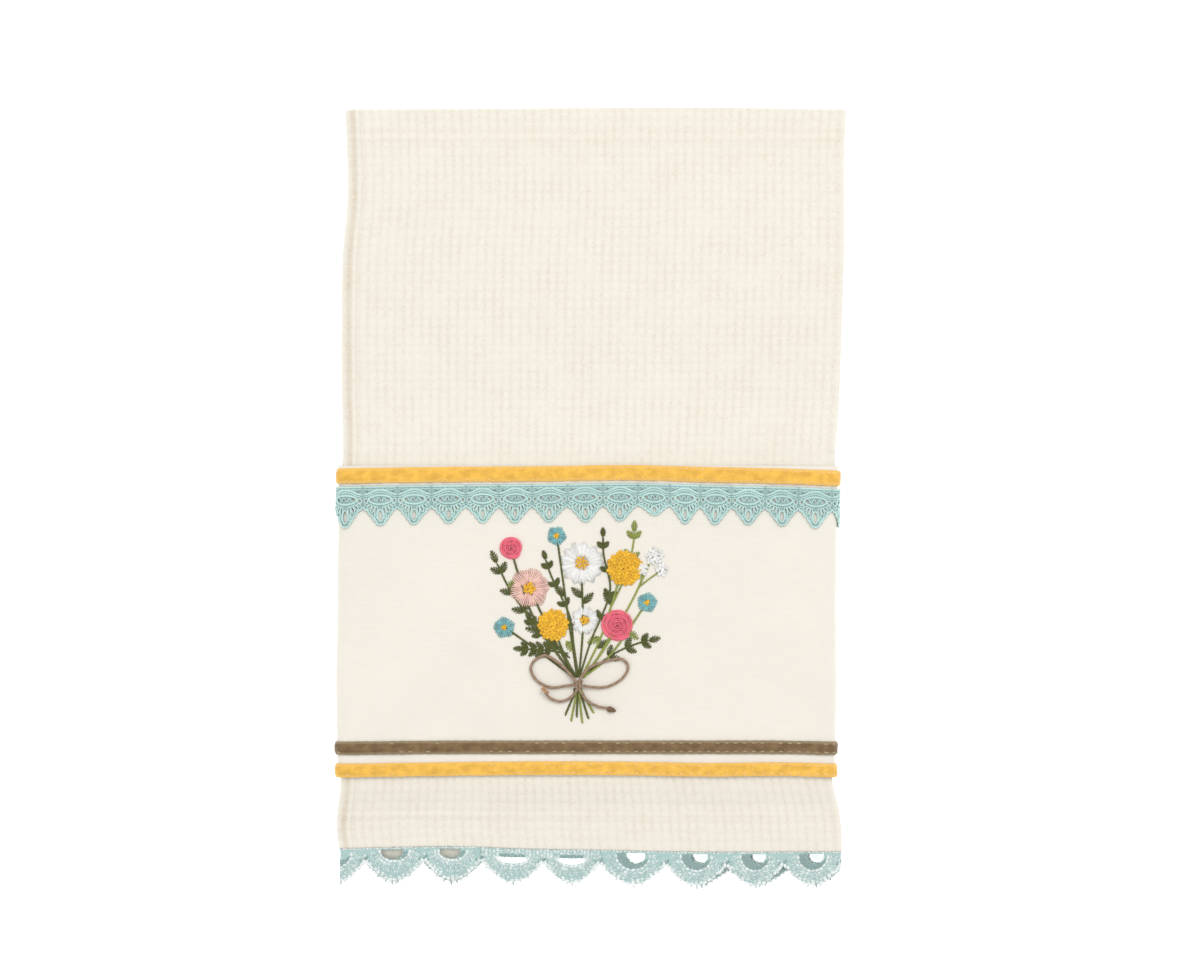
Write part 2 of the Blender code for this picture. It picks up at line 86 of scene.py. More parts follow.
TRIM_SHORT = 3.0
HEM_LACE_SHORT = 1.0

OUTLINE = np.array([  # y, left side, right side
    (-163.2, -105.8, 105.1), (-148.5, -105.8, 106.3), (-140.1, -107.0, 106.1),
    (-131.7, -106.5, 105.1), (-114.9, -106.3, 103.0), (-98.1, -106.6, 103.6),
    (-81.3, -106.9, 103.8), (-47.7, -106.5, 103.7), (-14.1, -106.1, 103.8), (11.1, -105.8, 104.6),
    (36.3, -104.8, 105.2), (78.3, -104.8, 106.5), (103.5, -104.2, 107.3), (124.5, -102.4, 107.3),
    (145.5, -102.5, 107.3), (163.2, -103.3, 108.3),
])
LIFTS = np.array([  # y, how high the cloth is carried, how far its trims reach past its sides
    (-134.0, 0.0, 0.0), (-119.0, TRIM_LIFT, PANEL + GAP), (18.0, TRIM_LIFT, PANEL + GAP),
    (44.0, 0.0, 0.0),
])
EDGES = np.array([  # x, top fold, front hem, back hem
    (-106.0, 163.1, -148.0, -152.6), (-50.0, 163.4, -147.2, -152.0),
    (-30.0, 163.5, -148.0, -147.6), (4.0, 163.7, -148.6, -146.6), (30.0, 163.8, -149.2, -146.8),
    (107.0, 163.2, -149.2, -147.4),
])
TOP, HEM, BACK_HEM = 1, 2, 3
RIBBONS = np.array([  # x, middle lines of the upper, middle and lower ribbons
    (-106.0, 8.6, -105.7, -115.1), (-67.0, 9.2, -105.3, -114.5), (-17.0, 9.6, -105.2, -114.0),
    (17.0, 10.0, -105.2, -114.2), (50.0, 9.2, -105.2, -114.7), (84.0, 8.4, -105.3, -114.5),
    (104.0, 7.6, -105.8, -115.1),
])
UPPER, MIDDLE, LOWER = 1, 2, 3
CREASES = (  # soft ridges of the front: x0, y0, x1, y1, width, rise
    (11.0, 160.0, 10.0, 30.0, 10.0, 0.55),
    (-4.0, 158.0, -2.0, 70.0, 11.0, 0.30),
    (-101.0, 149.8, 105.0, 149.8, 2.2, 0.35),
    (96.0, 4.0, 95.5, -98.0, 9.0, 0.45),
    (-44.0, 100.0, -50.0, -60.0, 16.0, 0.30),
    (70.0, 120.0, 62.0, 20.0, 18.0, 0.35),
    (-104.0, -134.6, 104.0, -134.6, 2.4, 0.35),
    (80.0, -138.0, 103.0, -146.0, 10.0, 0.50),
)

# Waffle weave: where the mesh has its lines within one cell
LINE_ACROSS, LINE_ALONG = 0.14, 0.16  # how wide the line beside a cell is
CELL_COLUMNS = (0.0, LINE_ACROSS, 0.5, 1 - LINE_ACROSS)
CELL_ROWS = (0.0, LINE_ALONG, 1 - LINE_ALONG)
WAFFLE_FOOT = 18.0  # the weave's cells have their own mesh above here
BAND_TOP = -117.0  # and below here
SEWN_ROWS = (153.4, 149.6, -134.6)  # rows where the weave is drawn together, painted darker, partly as their shade and partly as the seams' thread
CREASE_SHADE_COLUMN = 0.7  # how many cells from the left fold a crease runs, painted darker as its shade
YARNS = 8  # yarns across one cell
BACK_ROWS, TURN_ROWS, HIDDEN_ROWS = 20, 9, 13  # rows of the mesh where no cell shows
FOLD_STEPS, FLAP_STEPS = 8, 4
PANEL_ROWS, PANEL_COLUMNS = 88, 133

# Velvet ribbons
VELVETS = {  # colours of the woven edge and the thread, and how far pile and thread vary
    "yellow_velvet": ((0.93, 0.57, 0.16), (0.93, 0.63, 0.26), 0.19, 0.12),
    "brown_velvet": ((0.37, 0.30, 0.19), (0.42, 0.35, 0.23), 0.28, 0.2),
}
RIBBON_KINDS = (  # name, column in RIBBONS, slot, shares of the common width and stitch pitch
    ("upper_ribbon", UPPER, "yellow_velvet", 1.0, 1.0),
    ("middle_ribbon", MIDDLE, "brown_velvet", 0.88, 1.65),
    ("lower_ribbon", LOWER, "yellow_velvet", 0.9, 1.65),
)
RIBBON_COLUMNS = 261
RIBBON_ROWS = (-1.0, -0.94, -0.82, -0.7, -0.5, -0.25, 0.0, 0.25, 0.5, 0.7, 0.82, 0.94, 1.0)

# Point lace
LACE_LAYER = TRIM_LAYER - 0.25
LACE_DROP = 4.4  # from the upper ribbon's middle line to the top of the lace
LACE_BAND = 8.6  # depth of the part above the points
POINT_PITCH = 14.4
POINT_DROP = 16.4
LACE_HALF = POINT_PITCH / 2
POINTS = (  # x and depth of each point along the front
    (-102.9, 17.6), (-87.8, 16.6), (-73.9, 16.4), (-59.2, 16.0), (-44.9, 16.0), (-31.5, 16.0),
    (-17.2, 15.8), (-1.7, 16.0), (12.6, 15.8), (27.3, 13.2), (39.9, 16.4), (52.5, 16.4),
    (66.4, 16.2), (80.6, 16.4), (94.5, 16.8),
)
POINT_SIDE = ((-7.2, 8.6), (-6.3, 9.6), (-5.3, 10.4), (-4.5, 11.5), (-3.6, 12.3), (-2.9, 13.5),
              (-2.1, 14.5), (-1.3, 15.6), (0.0, 16.2))
EYE_HALF, EYE_DEPTH, EYE_LID = 4.7, 5.7, 1.7
EYE = np.array([(EYE_HALF * cos(a), EYE_DEPTH + (2.1 if sin(a) > 0 else EYE_LID) * sin(a))
                for a in np.arange(22) * 2 * pi / 22])
FAN = (  # loops that spread under the eye: x, depth, half width, half length, turn
    (1.75, 10.3, 0.62, 1.75, -0.16), (3.15, 9.8, 0.6, 1.6, -0.45), (4.4, 8.85, 0.55, 1.3, -0.8),
    (5.6, 8.0, 0.45, 0.85, -1.15), (2.1, 13.0, 0.4, 0.8, 0.25),
)

# Crochet edging
SCALLOP_PITCH = 24.8
SCALLOP_ENDS = (-118.5, -94.5, -69.7, -45.8, -19.7, 4.2, 31.9, 57.5, 81.5, 106.0)
UNDER_SHIFT = 2.6  # how far the tucked edging lies to the right of the one over it
SCALLOP_DEPTH = 14.6
HEADER = 2.0
HOLE_TOP = 0.6  # most openings begin this far under the hem
LOW_HOLE_TOP = HEADER + 1.3  # and the openings under a full header here
NOTCH_DEPTH = 5.0
HOLE_HALF = 5.6
HOLE_DEPTH = 5.0
HOLE_BULGE = 1.07
HOLE_CURVE = 0.8
SCALLOP_CURVE = 1.8
DROOP = 1.6  # how far the points sink towards the floor
RIM_DEPTH = SCALLOP_DEPTH - 0.9  # of the ground, inside the rim's own stitches
RING = SCALLOP_PITCH / 2  # half width of a scallop of the usual pitch
DEEP = -1.0  # shade of the crochet stitches that lie in shadow
RIM_BEADS, BARS, HEADER_BEADS = 19, 26, 17
RIM_TIPS = (  # pointed beads outside the rim: place across, half length, half width
    (0.8, 0.6, 0.55), (0.52, 0.7, 0.55), (0.26, 0.9, 0.6), (0.03, 1.35, 0.62), (-0.16, 1.0, 0.6),
    (-0.5, 0.7, 0.55), (-0.82, 0.6, 0.55),
)
NOTCH_BEADS = (  # beads between two scallops: x aside, depth, shade
    (0.0, 2.6, 0.35), (0.9, 3.6, DEEP), (-0.9, 3.6, 0.3), (0.0, 4.4, DEEP), (1.6, 5.2, DEEP),
    (-1.9, 4.8, DEEP),
)

# Twine bow: x, y and height over the panel
TWINE = 1.5
LEFT_LOOP = (
    (-5.2, -78.4, 0.9), (-10.1, -72.6, 0.6), (-14.3, -69.0, 0.2), (-18.9, -66.7, 0.0),
    (-23.3, -68.9, 0.0), (-24.8, -72.5, 0.0), (-22.5, -77.0, 0.0), (-18.1, -79.6, 0.0),
    (-14.3, -80.1, 0.1), (-10.1, -79.4, 0.4), (-5.6, -79.3, 0.9),
)
RIGHT_LOOP = (
    (-4.4, -78.0, 0.9), (-3.2, -75.0, 1.0), (0.4, -71.4, 0.5), (8.4, -68.6, 0.1),
    (13.7, -68.4, 0.0), (16.0, -71.8, 0.0), (13.2, -76.6, 0.0), (6.7, -79.9, 0.1),
    (-0.4, -79.8, 0.5), (-4.2, -79.2, 0.9),
)
LEFT_TAIL = (
    (-5.2, -79.6, 0.6), (-6.4, -82.6, 0.3), (-9.2, -85.0, 0.0), (-12.6, -86.0, 0.0),
    (-16.4, -84.8, 0.3), (-18.6, -82.4, 1.4), (-18.8, -81.2, 1.7),
)
RIGHT_TAIL = (
    (-4.6, -79.6, 0.6), (-3.6, -82.4, 0.3), (-0.8, -85.9, 0.0), (3.4, -88.1, 0.0),
    (7.4, -88.8, 0.0), (8.8, -89.4, 0.1),
)
CENTRE_KNOT = (-4.9, -79.0, 0.7)
LEFT_END = (-18.9, -81.2, 1.7)
RIGHT_END = (8.8, -89.4, 0.2)
KNOT_PLACE = (-5.0, -79.0)  # where the stems are tied

# Stage, in metres
VIEW_CENTRE = (0.0042, 0.00525)  # what the middle of the photograph shows
VIEW_WIDTH = 0.504  # what its width shows, at the height of the front
VIEW_LEVEL = 0.01
LAMPS = (  # name, place, size, power
    ("key", (0.5, 0.95, 1.95), 1.4, 21.6),
    ("fill", (-1.2, -0.5, 2.0), 2.2, 10.0),
)
WORLD_COLOUR = (1.0, 0.985, 0.96, 1.0)
WORLD_STRENGTH = 0.62
FLOOR_SIZE = 8.0
FLOOR_LEVEL = -0.0004
CAMERA_REACH = 20.0
FLOOR_GLOW = 0.6  # the floor is lit a little from within, like a light table


def length_setting(name, description, value):
    return FloatProperty(name=name, description=description, default=value, unit="LENGTH")


class TowelSizes(bpy.types.PropertyGroup):
    cell: length_setting("Waffle cell", "Pitch of the waffle weave", 0.00378)
    groove: length_setting("Groove", "Depth of the lines between waffle cells", 0.0002)
    unevenness: length_setting("Unevenness", "Height of the front's gentle waves", 0.0003)
    ribbon_width: length_setting("Ribbon width", "Width of the upper ribbon", 0.0064)
    stitch_pitch: length_setting("Stitch pitch", "From stitch to stitch, upper ribbon", 0.0023)
    embroidery_thread: length_setting("Embroidery thread", "Radius of a thread", 0.00036)
    twine: length_setting("Twine", "Diameter of the bow's twine", 0.0013)
    twine_plies: IntProperty(name="Plies", description="Strands twisted to make the twine",
                             default=3)
    camera_height: length_setting("Camera height", "Camera over the surface", 2.3)


def colour_setting(name, description, value):
    return FloatVectorProperty(name=name, description=description, default=value, size=3, min=0.0,
                               max=1.0, subtype="COLOR")


class TowelColours(bpy.types.PropertyGroup):
    waffle: colour_setting("Waffle cloth", "Colour of the towel", (0.815, 0.787, 0.714))
    plain: colour_setting("Panel", "Colour of the plain panel", (0.848, 0.81, 0.737))
    yellow: colour_setting("Yellow velvet", "Colour of two ribbons", (0.89, 0.5, 0.095))
    brown: colour_setting("Brown velvet", "Colour of the middle ribbon", (0.21, 0.137, 0.072))
    teal: colour_setting("Point lace", "Colour of the lace on the front", (0.53, 0.745, 0.72))
    crochet: colour_setting("Crochet", "Colour of the edging", (0.67, 0.95, 0.93))
    twine: colour_setting("Twine", "Colour of the bow", (0.36, 0.25, 0.175))
    pink: colour_setting("Pink", "Embroidery thread", (0.8, 0.15, 0.22))
    gold: colour_setting("Gold", "Embroidery thread", (0.91, 0.48, 0.03))
    blush: colour_setting("Blush", "Embroidery thread", (0.94, 0.56, 0.49))
    white: colour_setting("White", "Embroidery thread", (0.92, 0.92, 0.89))
    blue: colour_setting("Blue", "Embroidery thread", (0.2, 0.46, 0.49))
    olive: colour_setting("Olive", "Embroidery thread", (0.1, 0.115, 0.025))
    green: colour_setting("Green", "Embroidery thread", (0.3, 0.35, 0.08))
    floor: colour_setting("Floor", "Colour of the floor", (0.96, 0.96, 0.96))


def sizes():
    return bpy.context.scene.towel_sizes


def colours():
    return bpy.context.scene.towel_colours


def curve_through(rows, at, column):
    """A column of a table at many places, on a smooth curve through its rows."""
    keys, values = rows[:, 0], rows[:, column]
    slopes = np.gradient(values, keys)
    at = np.clip(at, keys[0], keys[-1])
    i = np.clip(np.searchsorted(keys, at, side="right") - 1, 0, len(keys) - 2)
    span = keys[i + 1] - keys[i]
    f = (at - keys[i]) / span
    return (values[i] * (1 + 2 * f) * (1 - f) ** 2 + values[i + 1] * f * f * (3 - 2 * f)
            + slopes[i] * span * f * (1 - f) ** 2 - slopes[i + 1] * span * f * f * (1 - f))


def smooth_step(f):
    f = np.clip(f, 0.0, 1.0)
    return f * f * (3 - 2 * f)


def eased(rows, at, column):
    """A column of a table that stays level at its rows and eases from one row to the next."""
    keys, values = rows[:, 0], rows[:, column]
    i = np.clip(np.searchsorted(keys, at, side="right") - 1, 0, len(keys) - 2)
    return values[i] + (values[i + 1] - values[i]) * smooth_step((at - keys[i])
                                                                 / (keys[i + 1] - keys[i]))


def fold_lines(y):
    """Where the two side folds begin."""
    reach = SIDE_RADIUS + FRONT_LAYER + CLOTH / 2 + eased(LIFTS, y, 2)
    return curve_through(OUTLINE, y, 1) + reach, curve_through(OUTLINE, y, 2) - reach


def relief(x, y):
    """Height of the front's ridges and gentle waves."""
    wave = sizes().unevenness / MM
    height = wave * (0.5 + 0.25 * np.sin(x / 17 + y / 60 + 0.7) * np.sin(y / 23 + 1.1)
                     + 0.25 * np.sin(x / 9.5 - y / 41) * np.sin(y / 15 + x / 70))
    for x0, y0, x1, y1, width, rise in CREASES:
        length = hypot(x1 - x0, y1 - y0)
        ux, uy = (x1 - x0) / length, (y1 - y0) / length
        along = np.clip((x - x0) * ux + (y - y0) * uy, 0, length)
        away = np.hypot(x - x0 - ux * along, y - y0 - uy * along) / width
        height = height + rise * np.maximum(0, 1 - away * away) ** 2
    return height


def on_towel(x, y, layer, bend=None):
    """Points of a layer, in metres. Past a fold line the cloth turns and runs back underneath.

    bend is the radius at which x is measured round a side fold, the layer's own if none is given.
    """
    x, y, layer = (np.asarray(a, float) for a in np.broadcast_arrays(x, y, layer))
    radius = SIDE_RADIUS + layer
    bend = radius if bend is None else bend
    left, right = fold_lines(y)
    middle = CLOTH / 2 + SIDE_RADIUS + FRONT_LAYER + eased(LIFTS, y, 1)
    side = np.where(x < left, -1.0, 1.0)
    edge = np.clip(x, left, right)
    past = np.abs(x - edge)
    angle = np.minimum(past / bend, pi)
    under = np.maximum(past - pi * bend, 0)
    rise = np.where(layer > 0, relief(edge, y) * np.maximum(np.cos(angle), 0), 0)
    across = edge + side * (radius * np.sin(angle) - under)
    return np.stack((across, y, middle + radius * np.cos(angle) + rise), -1) * MM


def unit(vectors):
    return vectors / np.maximum(np.linalg.norm(vectors, axis=-1, keepdims=True), 1e-12)


def run_along(route):
    """How far along a route each of its points lies."""
    return np.concatenate(([0], np.cumsum(np.linalg.norm(np.diff(route, axis=0), axis=1))))


def directions(x, y, layer):
    """Places on the towel, with the directions across it, up it and out of it."""
    step = 0.05
    here = on_towel(x, y, layer)
    across = unit(on_towel(x + step, y, layer) - on_towel(x - step, y, layer))
    up = unit(on_towel(x, y + step, layer) - on_towel(x, y - step, layer))
    out = unit(np.cross(across, up))
    return here, across, unit(np.cross(out, across)), out


def unfolded_ends(y, layer, short):
    """Where a piece begins and ends across the unfolded cloth."""
    turn = pi * (SIDE_RADIUS + layer)
    left, right = fold_lines(y)
    fold = SIDE_RADIUS + FRONT_LAYER
    return left - turn - (LEFT_FLAP - fold - short), right + turn + (RIGHT_FLAP - fold - short)


class Value:
    """A socket of a material, so that sums on it read as Python."""

    def __init__(self, finish, socket):
        self.finish = finish
        self.socket = socket

    def __add__(self, other):
        return self.finish.math("ADD", self, other)

    def __radd__(self, other):
        return self.finish.math("ADD", other, self)

    def __sub__(self, other):
        return self.finish.math("SUBTRACT", self, other)

    def __rsub__(self, other):
        return self.finish.math("SUBTRACT", other, self)

    def __mul__(self, other):
        return self.finish.math("MULTIPLY", self, other)


class Finish:
    """A material whose nodes are added by expressions."""

    def __init__(self, name, roughness, sheen=0.0, sheen_roughness=0.5, specular=0.3):
        self.material = bpy.data.materials.new(name)
        self.material.use_nodes = True
        self.nodes = self.material.node_tree.nodes
        self.links = self.material.node_tree.links
        self.shader = self.nodes["Principled BSDF"]
        for socket, value in (("Roughness", roughness), ("Sheen Weight", sheen),
                              ("Sheen Roughness", sheen_roughness),
                              ("Specular IOR Level", specular)):
            self.shader.inputs[socket].default_value = value

    def add(self, kind, settings=None, inputs=None, output=0):
        """A node with its settings and its inputs' values or links, as the Value of an output."""
        node = self.nodes.new(kind)
        for key, value in (settings or {}).items():
            setattr(node, key, value)
        for key, value in (inputs or {}).items():
            if isinstance(value, Value):
                self.links.new(value.socket, node.inputs[key])
            else:
                node.inputs[key].default_value = value
        return Value(self, node.outputs[output])

    def set(self, socket, value):
        self.links.new(value.socket, self.shader.inputs[socket])

    def math(self, operation, *values):
        return self.add("ShaderNodeMath", {"operation": operation}, dict(enumerate(values)))

    def mix(self, factor, a, b):
        """From colour a to colour b."""
        a, b = (value if isinstance(value, Value) else (*value, 1.0) for value in (a, b))
        return self.add("ShaderNodeMix", {"data_type": "RGBA"},
                        {"Factor": factor, 6: a, 7: b}, output=2)

    def ramp(self, value, low, high, start=0.0, end=1.0):
        """start up to low, end from high, smooth between them."""
        return self.add("ShaderNodeMapRange", {"interpolation_type": "SMOOTHSTEP"},
                        {"Value": value, "From Min": low, "From Max": high, "To Min": start,
                         "To Max": end})

    def noise(self, vector, scale, detail=2.0):
        return self.add("ShaderNodeTexNoise", {},
                        {"Vector": vector, "Scale": scale, "Detail": detail})

    def streaks(self, vector, across, along, detail=2.0):
        """Noise with a scale of its own in each direction of a map."""
        scaled = self.add("ShaderNodeMapping", {},
                          {"Vector": vector, "Scale": (across, along, 1.0)})
        return self.noise(scaled, 1.0, detail)

    def place(self):
        return self.add("ShaderNodeTexCoord", output="Object")

    def part(self, vector, axis):
        return self.add("ShaderNodeSeparateXYZ", {}, {0: vector}, axis)

    def weave(self):
        """Both coordinates of the piece's own map, and the map itself."""
        uv = self.add("ShaderNodeUVMap", {"uv_map": "weave"})
        return self.part(uv, 0), self.part(uv, 1), uv

    def line(self, value):
        """Distance to the nearest whole number."""
        return self.math("PINGPONG", value, 0.5)

    def distance(self, value, place):
        return self.math("ABSOLUTE", value - place)

    def bump(self, height, distance, strength):
        self.set("Normal", self.add("ShaderNodeBump", {},
                                    {"Height": height, "Distance": distance,
                                     "Strength": strength}))


def tinted(colour, factor):
    return tuple(min(1.0, c * factor) for c in colour)


def waffle_finish():
    """Cotton with painted shade in the lines between its cells, faded in places, painted shade
    along its folds and a crease, and seams painted darker.
    """
    finish = Finish("waffle_cloth", 0.92, 0.12)
    colour = colours().waffle
    across, along, uv = finish.weave()
    # The lines between the cells are painted darker as the shade in these grooves; it fades in
    # places and breaks up along them.
    side = finish.ramp(finish.line(across), 0.0, 0.4, 1.0, 0.0)
    level = finish.ramp(finish.line(along), 0.0, 0.36, 1.0, 0.0)
    grooves = 1 - (1 - side * 0.8) * (1 - level * 0.34)
    yarn = finish.line(across * YARNS) + finish.line(along * YARNS)
    patches = finish.noise(finish.place(), 60.0, 3.0)
    threads = finish.noise(uv, 4.0, 3.0)
    groove_shade_strength = finish.ramp(finish.noise(uv, 0.33, 3.0), 0.32, 0.68, 0.25, 1.0)
    broken = finish.ramp(threads, 0.35, 0.65, 0.04, 0.46)
    specks = finish.ramp(finish.noise(uv, 1.7, 2.0), 0.48, 0.7)
    height = finish.part(finish.place(), 1)
    # Painted shade along a crease near the left fold, and darker rows along the seams, partly
    # their own thread and partly painted shade where they draw the weave in.
    crease = finish.ramp(finish.distance(across, CREASE_SHADE_COLUMN), 0.0, 0.2, 1.8, 0.0)
    sewn = sum((finish.ramp(finish.distance(height, y * MM), 0.0, 0.0013, 1.0, 0.0)
                for y in SEWN_ROWS), start=crease)
    # Painted shade along the top fold and the left fold, where the cloth turns under.
    folds = (finish.ramp(height, 0.1622, 0.1638)
             + finish.ramp(finish.distance(across, 0.0), 0.05, 0.45, 1.0, 0.0))
    # How far each place is painted toward the darker colour: painted shade of grooves, folds and
    # crease, darker seams, and patches and specks that vary at random.
    shade = (grooves * groove_shade_strength * broken + (1 - patches) * 0.16 + sewn * threads * 0.24
             + specks * 0.1 + folds * 0.36)
    finish.set("Base Color", finish.mix(shade, tinted(colour, 1.06),
                                        (colour[0] * 0.80, colour[1] * 0.70, colour[2] * 0.60)))
    finish.bump((1 - grooves) * 0.4 + yarn * 0.2 + threads * 0.3, 0.00025, 0.45)
    return finish.material


def plain_finish():
    """Plain weave with a few thicker threads."""
    finish = Finish("plain_cloth", 0.9, 0.1)
    colour = colours().plain
    across, along, uv = finish.weave()
    threads = finish.line(across * 1400) + finish.line(along * 1400)
    slubs = finish.streaks(uv, 90.0, 900.0)
    patches = finish.noise(finish.place(), 45.0, 3.0)
    finish.set("Base Color", finish.mix(patches * 0.3 + slubs * 0.22 + threads * 0.1,
                                        tinted(colour, 1.06), tinted(colour, 0.84)))
    finish.bump(threads * 0.6 + slubs * 0.5, 0.00012, 0.5)
    return finish.material


def velvet_finish(name, colour, edge, crush):
    """Short pile between two woven edges; crush is how far the pile's shade varies."""
    finish = Finish(name, 0.95, 0.55, 0.35, 0.1)
    along, across, uv = finish.weave()
    pile = finish.noise(finish.place(), 2600.0)
    lie = finish.streaks(uv, 240.0, 0.9, 4.0)
    rim = finish.ramp(finish.math("ABSOLUTE", across), 0.5, 0.86)
    shade = finish.mix(finish.ramp(lie * 0.7 + pile * 0.3, 0.3, 0.7), tinted(colour, 1 - crush),
                       tinted(colour, 1 + crush))
    weave = finish.line(along * 1600)
    finish.set("Base Color", finish.mix(rim * (0.55 + weave * 0.5), shade, edge))
    finish.bump(pile * (1 - rim) + weave * rim, 0.00025, 0.7)
    return finish.material


def thread_finish(name, colour, depth=0.25, sheen=0.25, roughness=0.62, grain=3200.0):
    """Spun thread whose strands differ a little in shade by their attribute tint."""
    finish = Finish(name, roughness, sheen, 0.4, 0.35)
    tint = finish.add("ShaderNodeAttribute", {"attribute_name": "tint"}, output="Fac")
    fibres = finish.noise(finish.place(), grain)
    finish.set("Base Color", finish.mix(tint * 0.65 + fibres * 0.35, tinted(colour, 1 - depth),
                                        tinted(colour, 1 + depth)))
    finish.bump(fibres, 0.0002, 0.6)
    return finish.material


def net_finish(name, colour):
    """The dense ground of a lace, painted darker than its cords as the shade under them."""
    finish = Finish(name, 0.85, 0.1)
    across, along, _ = finish.weave()
    threads = finish.line(across * 1100 + along * 500) + finish.line(along * 1100 - across * 500)
    spots = finish.noise(finish.place(), 900.0)
    finish.set("Base Color", finish.mix(threads * 0.6 + spots * 0.5, tinted(colour, 0.72),
                                        tinted(colour, 1.1)))
    finish.bump(threads, 0.0003, 0.8)
    return finish.material


def deselect():
    bpy.ops.object.select_all(action="DESELECT")


def select_only(made):
    deselect()
    made.select_set(True)
    bpy.context.view_layer.objects.active = made


def thicken(made, thickness, offset=0.0):
    """Gives a sheet its thickness, half to each side, or all of it below for an offset of -1."""
    modifier = made.modifiers.new("Thickness", "SOLIDIFY")
    modifier.thickness = thickness * MM
    modifier.offset = offset
    modifier.use_rim = True
    select_only(made)
    bpy.ops.object.modifier_apply(modifier=modifier.name)


def add_piece(made, material, replaced=()):
    """Gives a finished piece its material and its place on the part."""
    made.data.materials.clear()
    made.data.materials.append(material)
    made.data.shade_smooth()
    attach(made, BODY)
    if replaced:
        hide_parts(*replaced)
    return made


def corner_points(mesh):
    """Which point each corner of a mesh's faces lies at."""
    corners = np.empty(len(mesh.loops), int)
    mesh.loops.foreach_get("vertex_index", corners)
    return corners


def sheet_grid(name, points, weave):
    """A grid laid through points, an array of rows by columns, with its flat places as its map."""
    rows, columns = points.shape[:2]
    deselect()
    bpy.ops.mesh.primitive_grid_add(x_subdivisions=columns - 1, y_subdivisions=rows - 1, size=1.0)
    made = bpy.context.object
    made.name = made.data.name = name
    mesh = made.data
    if len(mesh.vertices) != rows * columns:
        raise RuntimeError(f"{name}: the grid has {len(mesh.vertices)} points")
    flat = np.empty(len(mesh.vertices) * 3)
    mesh.vertices.foreach_get("co", flat)
    flat = flat.reshape(-1, 3)
    i = np.rint((flat[:, 0] + 0.5) * (columns - 1)).astype(int)
    j = np.rint((flat[:, 1] + 0.5) * (rows - 1)).astype(int)
    mesh.vertices.foreach_set("co", points[j, i].ravel())
    uv = mesh.uv_layers.active
    uv.name = "weave"
    uv.data.foreach_set("uv", weave[j, i][corner_points(mesh)].ravel())
    mesh.update()
    return made


def new_object(name, points, faces, tint=None, weave=None):
    mesh = bpy.data.meshes.new(name)
    mesh.from_pydata(points, [], faces)
    if tint is not None:
        mesh.attributes.new("tint", "FLOAT", "POINT").data.foreach_set("value", tint)
    if weave is not None:
        uv = mesh.uv_layers.new(name="weave")
        uv.data.foreach_set("uv", weave[corner_points(mesh)].ravel())
    made = bpy.data.objects.new(name, mesh)
    bpy.context.scene.collection.objects.link(made)
    return made


def tube_rings(path, side, up, radius, corners):
    """Rings of points round a path, in its plane of side and up at each of its points."""
    angle = np.arange(corners) * 2 * pi / corners
    rings = path[:, None] + radius[:, None, None] * (
        np.cos(angle)[:, None] * side[:, None] + np.sin(angle)[:, None] * up[:, None])
    return rings.reshape(-1, 3)


def tube_faces(count, corners, used, closed=False):
    """Faces of a tube of count rings whose points begin at used, with caps at open ends."""
    first = used + np.arange(count if closed else count - 1)[:, None] * corners
    then = first + corners
    if closed:
        then[-1] = used
    k, after = np.arange(corners), (np.arange(corners) + 1) % corners
    faces = np.stack((first + k, then + k, then + after, first + after), -1)
    faces = faces.reshape(-1, 4).tolist()
    if not closed:
        last = used + (count - 1) * corners
        faces.append(list(range(used, used + corners)))
        faces.append(list(range(last + corners - 1, last - 1, -1)))
    return faces


class Strands:
    """Round threads that lie on the towel, gathered into one mesh."""

    def __init__(self, layer):
        self.layer = layer
        self.paths = []

    def add(self, path, radius, closed=False, tint=0.5):
        """path is rows of x, y and height over the layer, in millimetres, as is radius."""
        path = np.asarray(path, float)
        radius = np.broadcast_to(np.asarray(radius, float), len(path)).copy()
        if not closed:
            radius[[0, -1]] *= 0.55
        self.paths.append((path, radius, closed, tint))

    def build(self, name, corners=6):
        flat = np.vstack([path for path, *_ in self.paths])
        here, _, _, out = directions(flat[:, 0], flat[:, 1], self.layer + flat[:, 2])
        points, faces, tints, start = [], [], [], 0
        for path, radius, closed, tint in self.paths:
            count = len(path)
            at, normal = here[start:start + count], out[start:start + count]
            along = np.roll(at, -1, 0) - np.roll(at, 1, 0) if closed else np.gradient(at, axis=0)
            along = unit(along)
            side = unit(np.cross(along, normal))
            points.append(tube_rings(at, side, np.cross(side, along), radius * MM, corners))
            tints.append(np.full(count * corners, tint))
            faces += tube_faces(count, corners, start * corners, closed)
            start += count
        return new_object(name, np.vstack(points).tolist(), faces, np.concatenate(tints))


def bead_shape(segments, rings, dimple=0.0, taper=0.0):
    """Points and faces of one bead of thread, a ball with a dimple on top and a narrower end."""
    deselect()
    bpy.ops.mesh.primitive_uv_sphere_add(segments=segments, ring_count=rings, radius=1.0)
    made = bpy.context.object
    bpy.ops.object.mode_set(mode="EDIT")
    bpy.ops.mesh.select_all(action="DESELECT")
    bm = bmesh.from_edit_mesh(made.data)
    for vertex in bm.verts:
        vertex.select = vertex.co.z > 0.99
    bm.select_flush(True)
    bmesh.update_edit_mesh(made.data)
    bpy.ops.transform.translate(value=(0, 0, -dimple))
    bpy.ops.object.mode_set(mode="OBJECT")
    mesh = made.data
    points = np.array([vertex.co for vertex in mesh.vertices])
    points[:, 1] *= 1 - taper * (points[:, 0] + 1) / 2
    faces = sorted(list(face.vertices) for face in mesh.polygons)
    bpy.data.objects.remove(made)
    bpy.data.meshes.remove(mesh)
    return points, faces


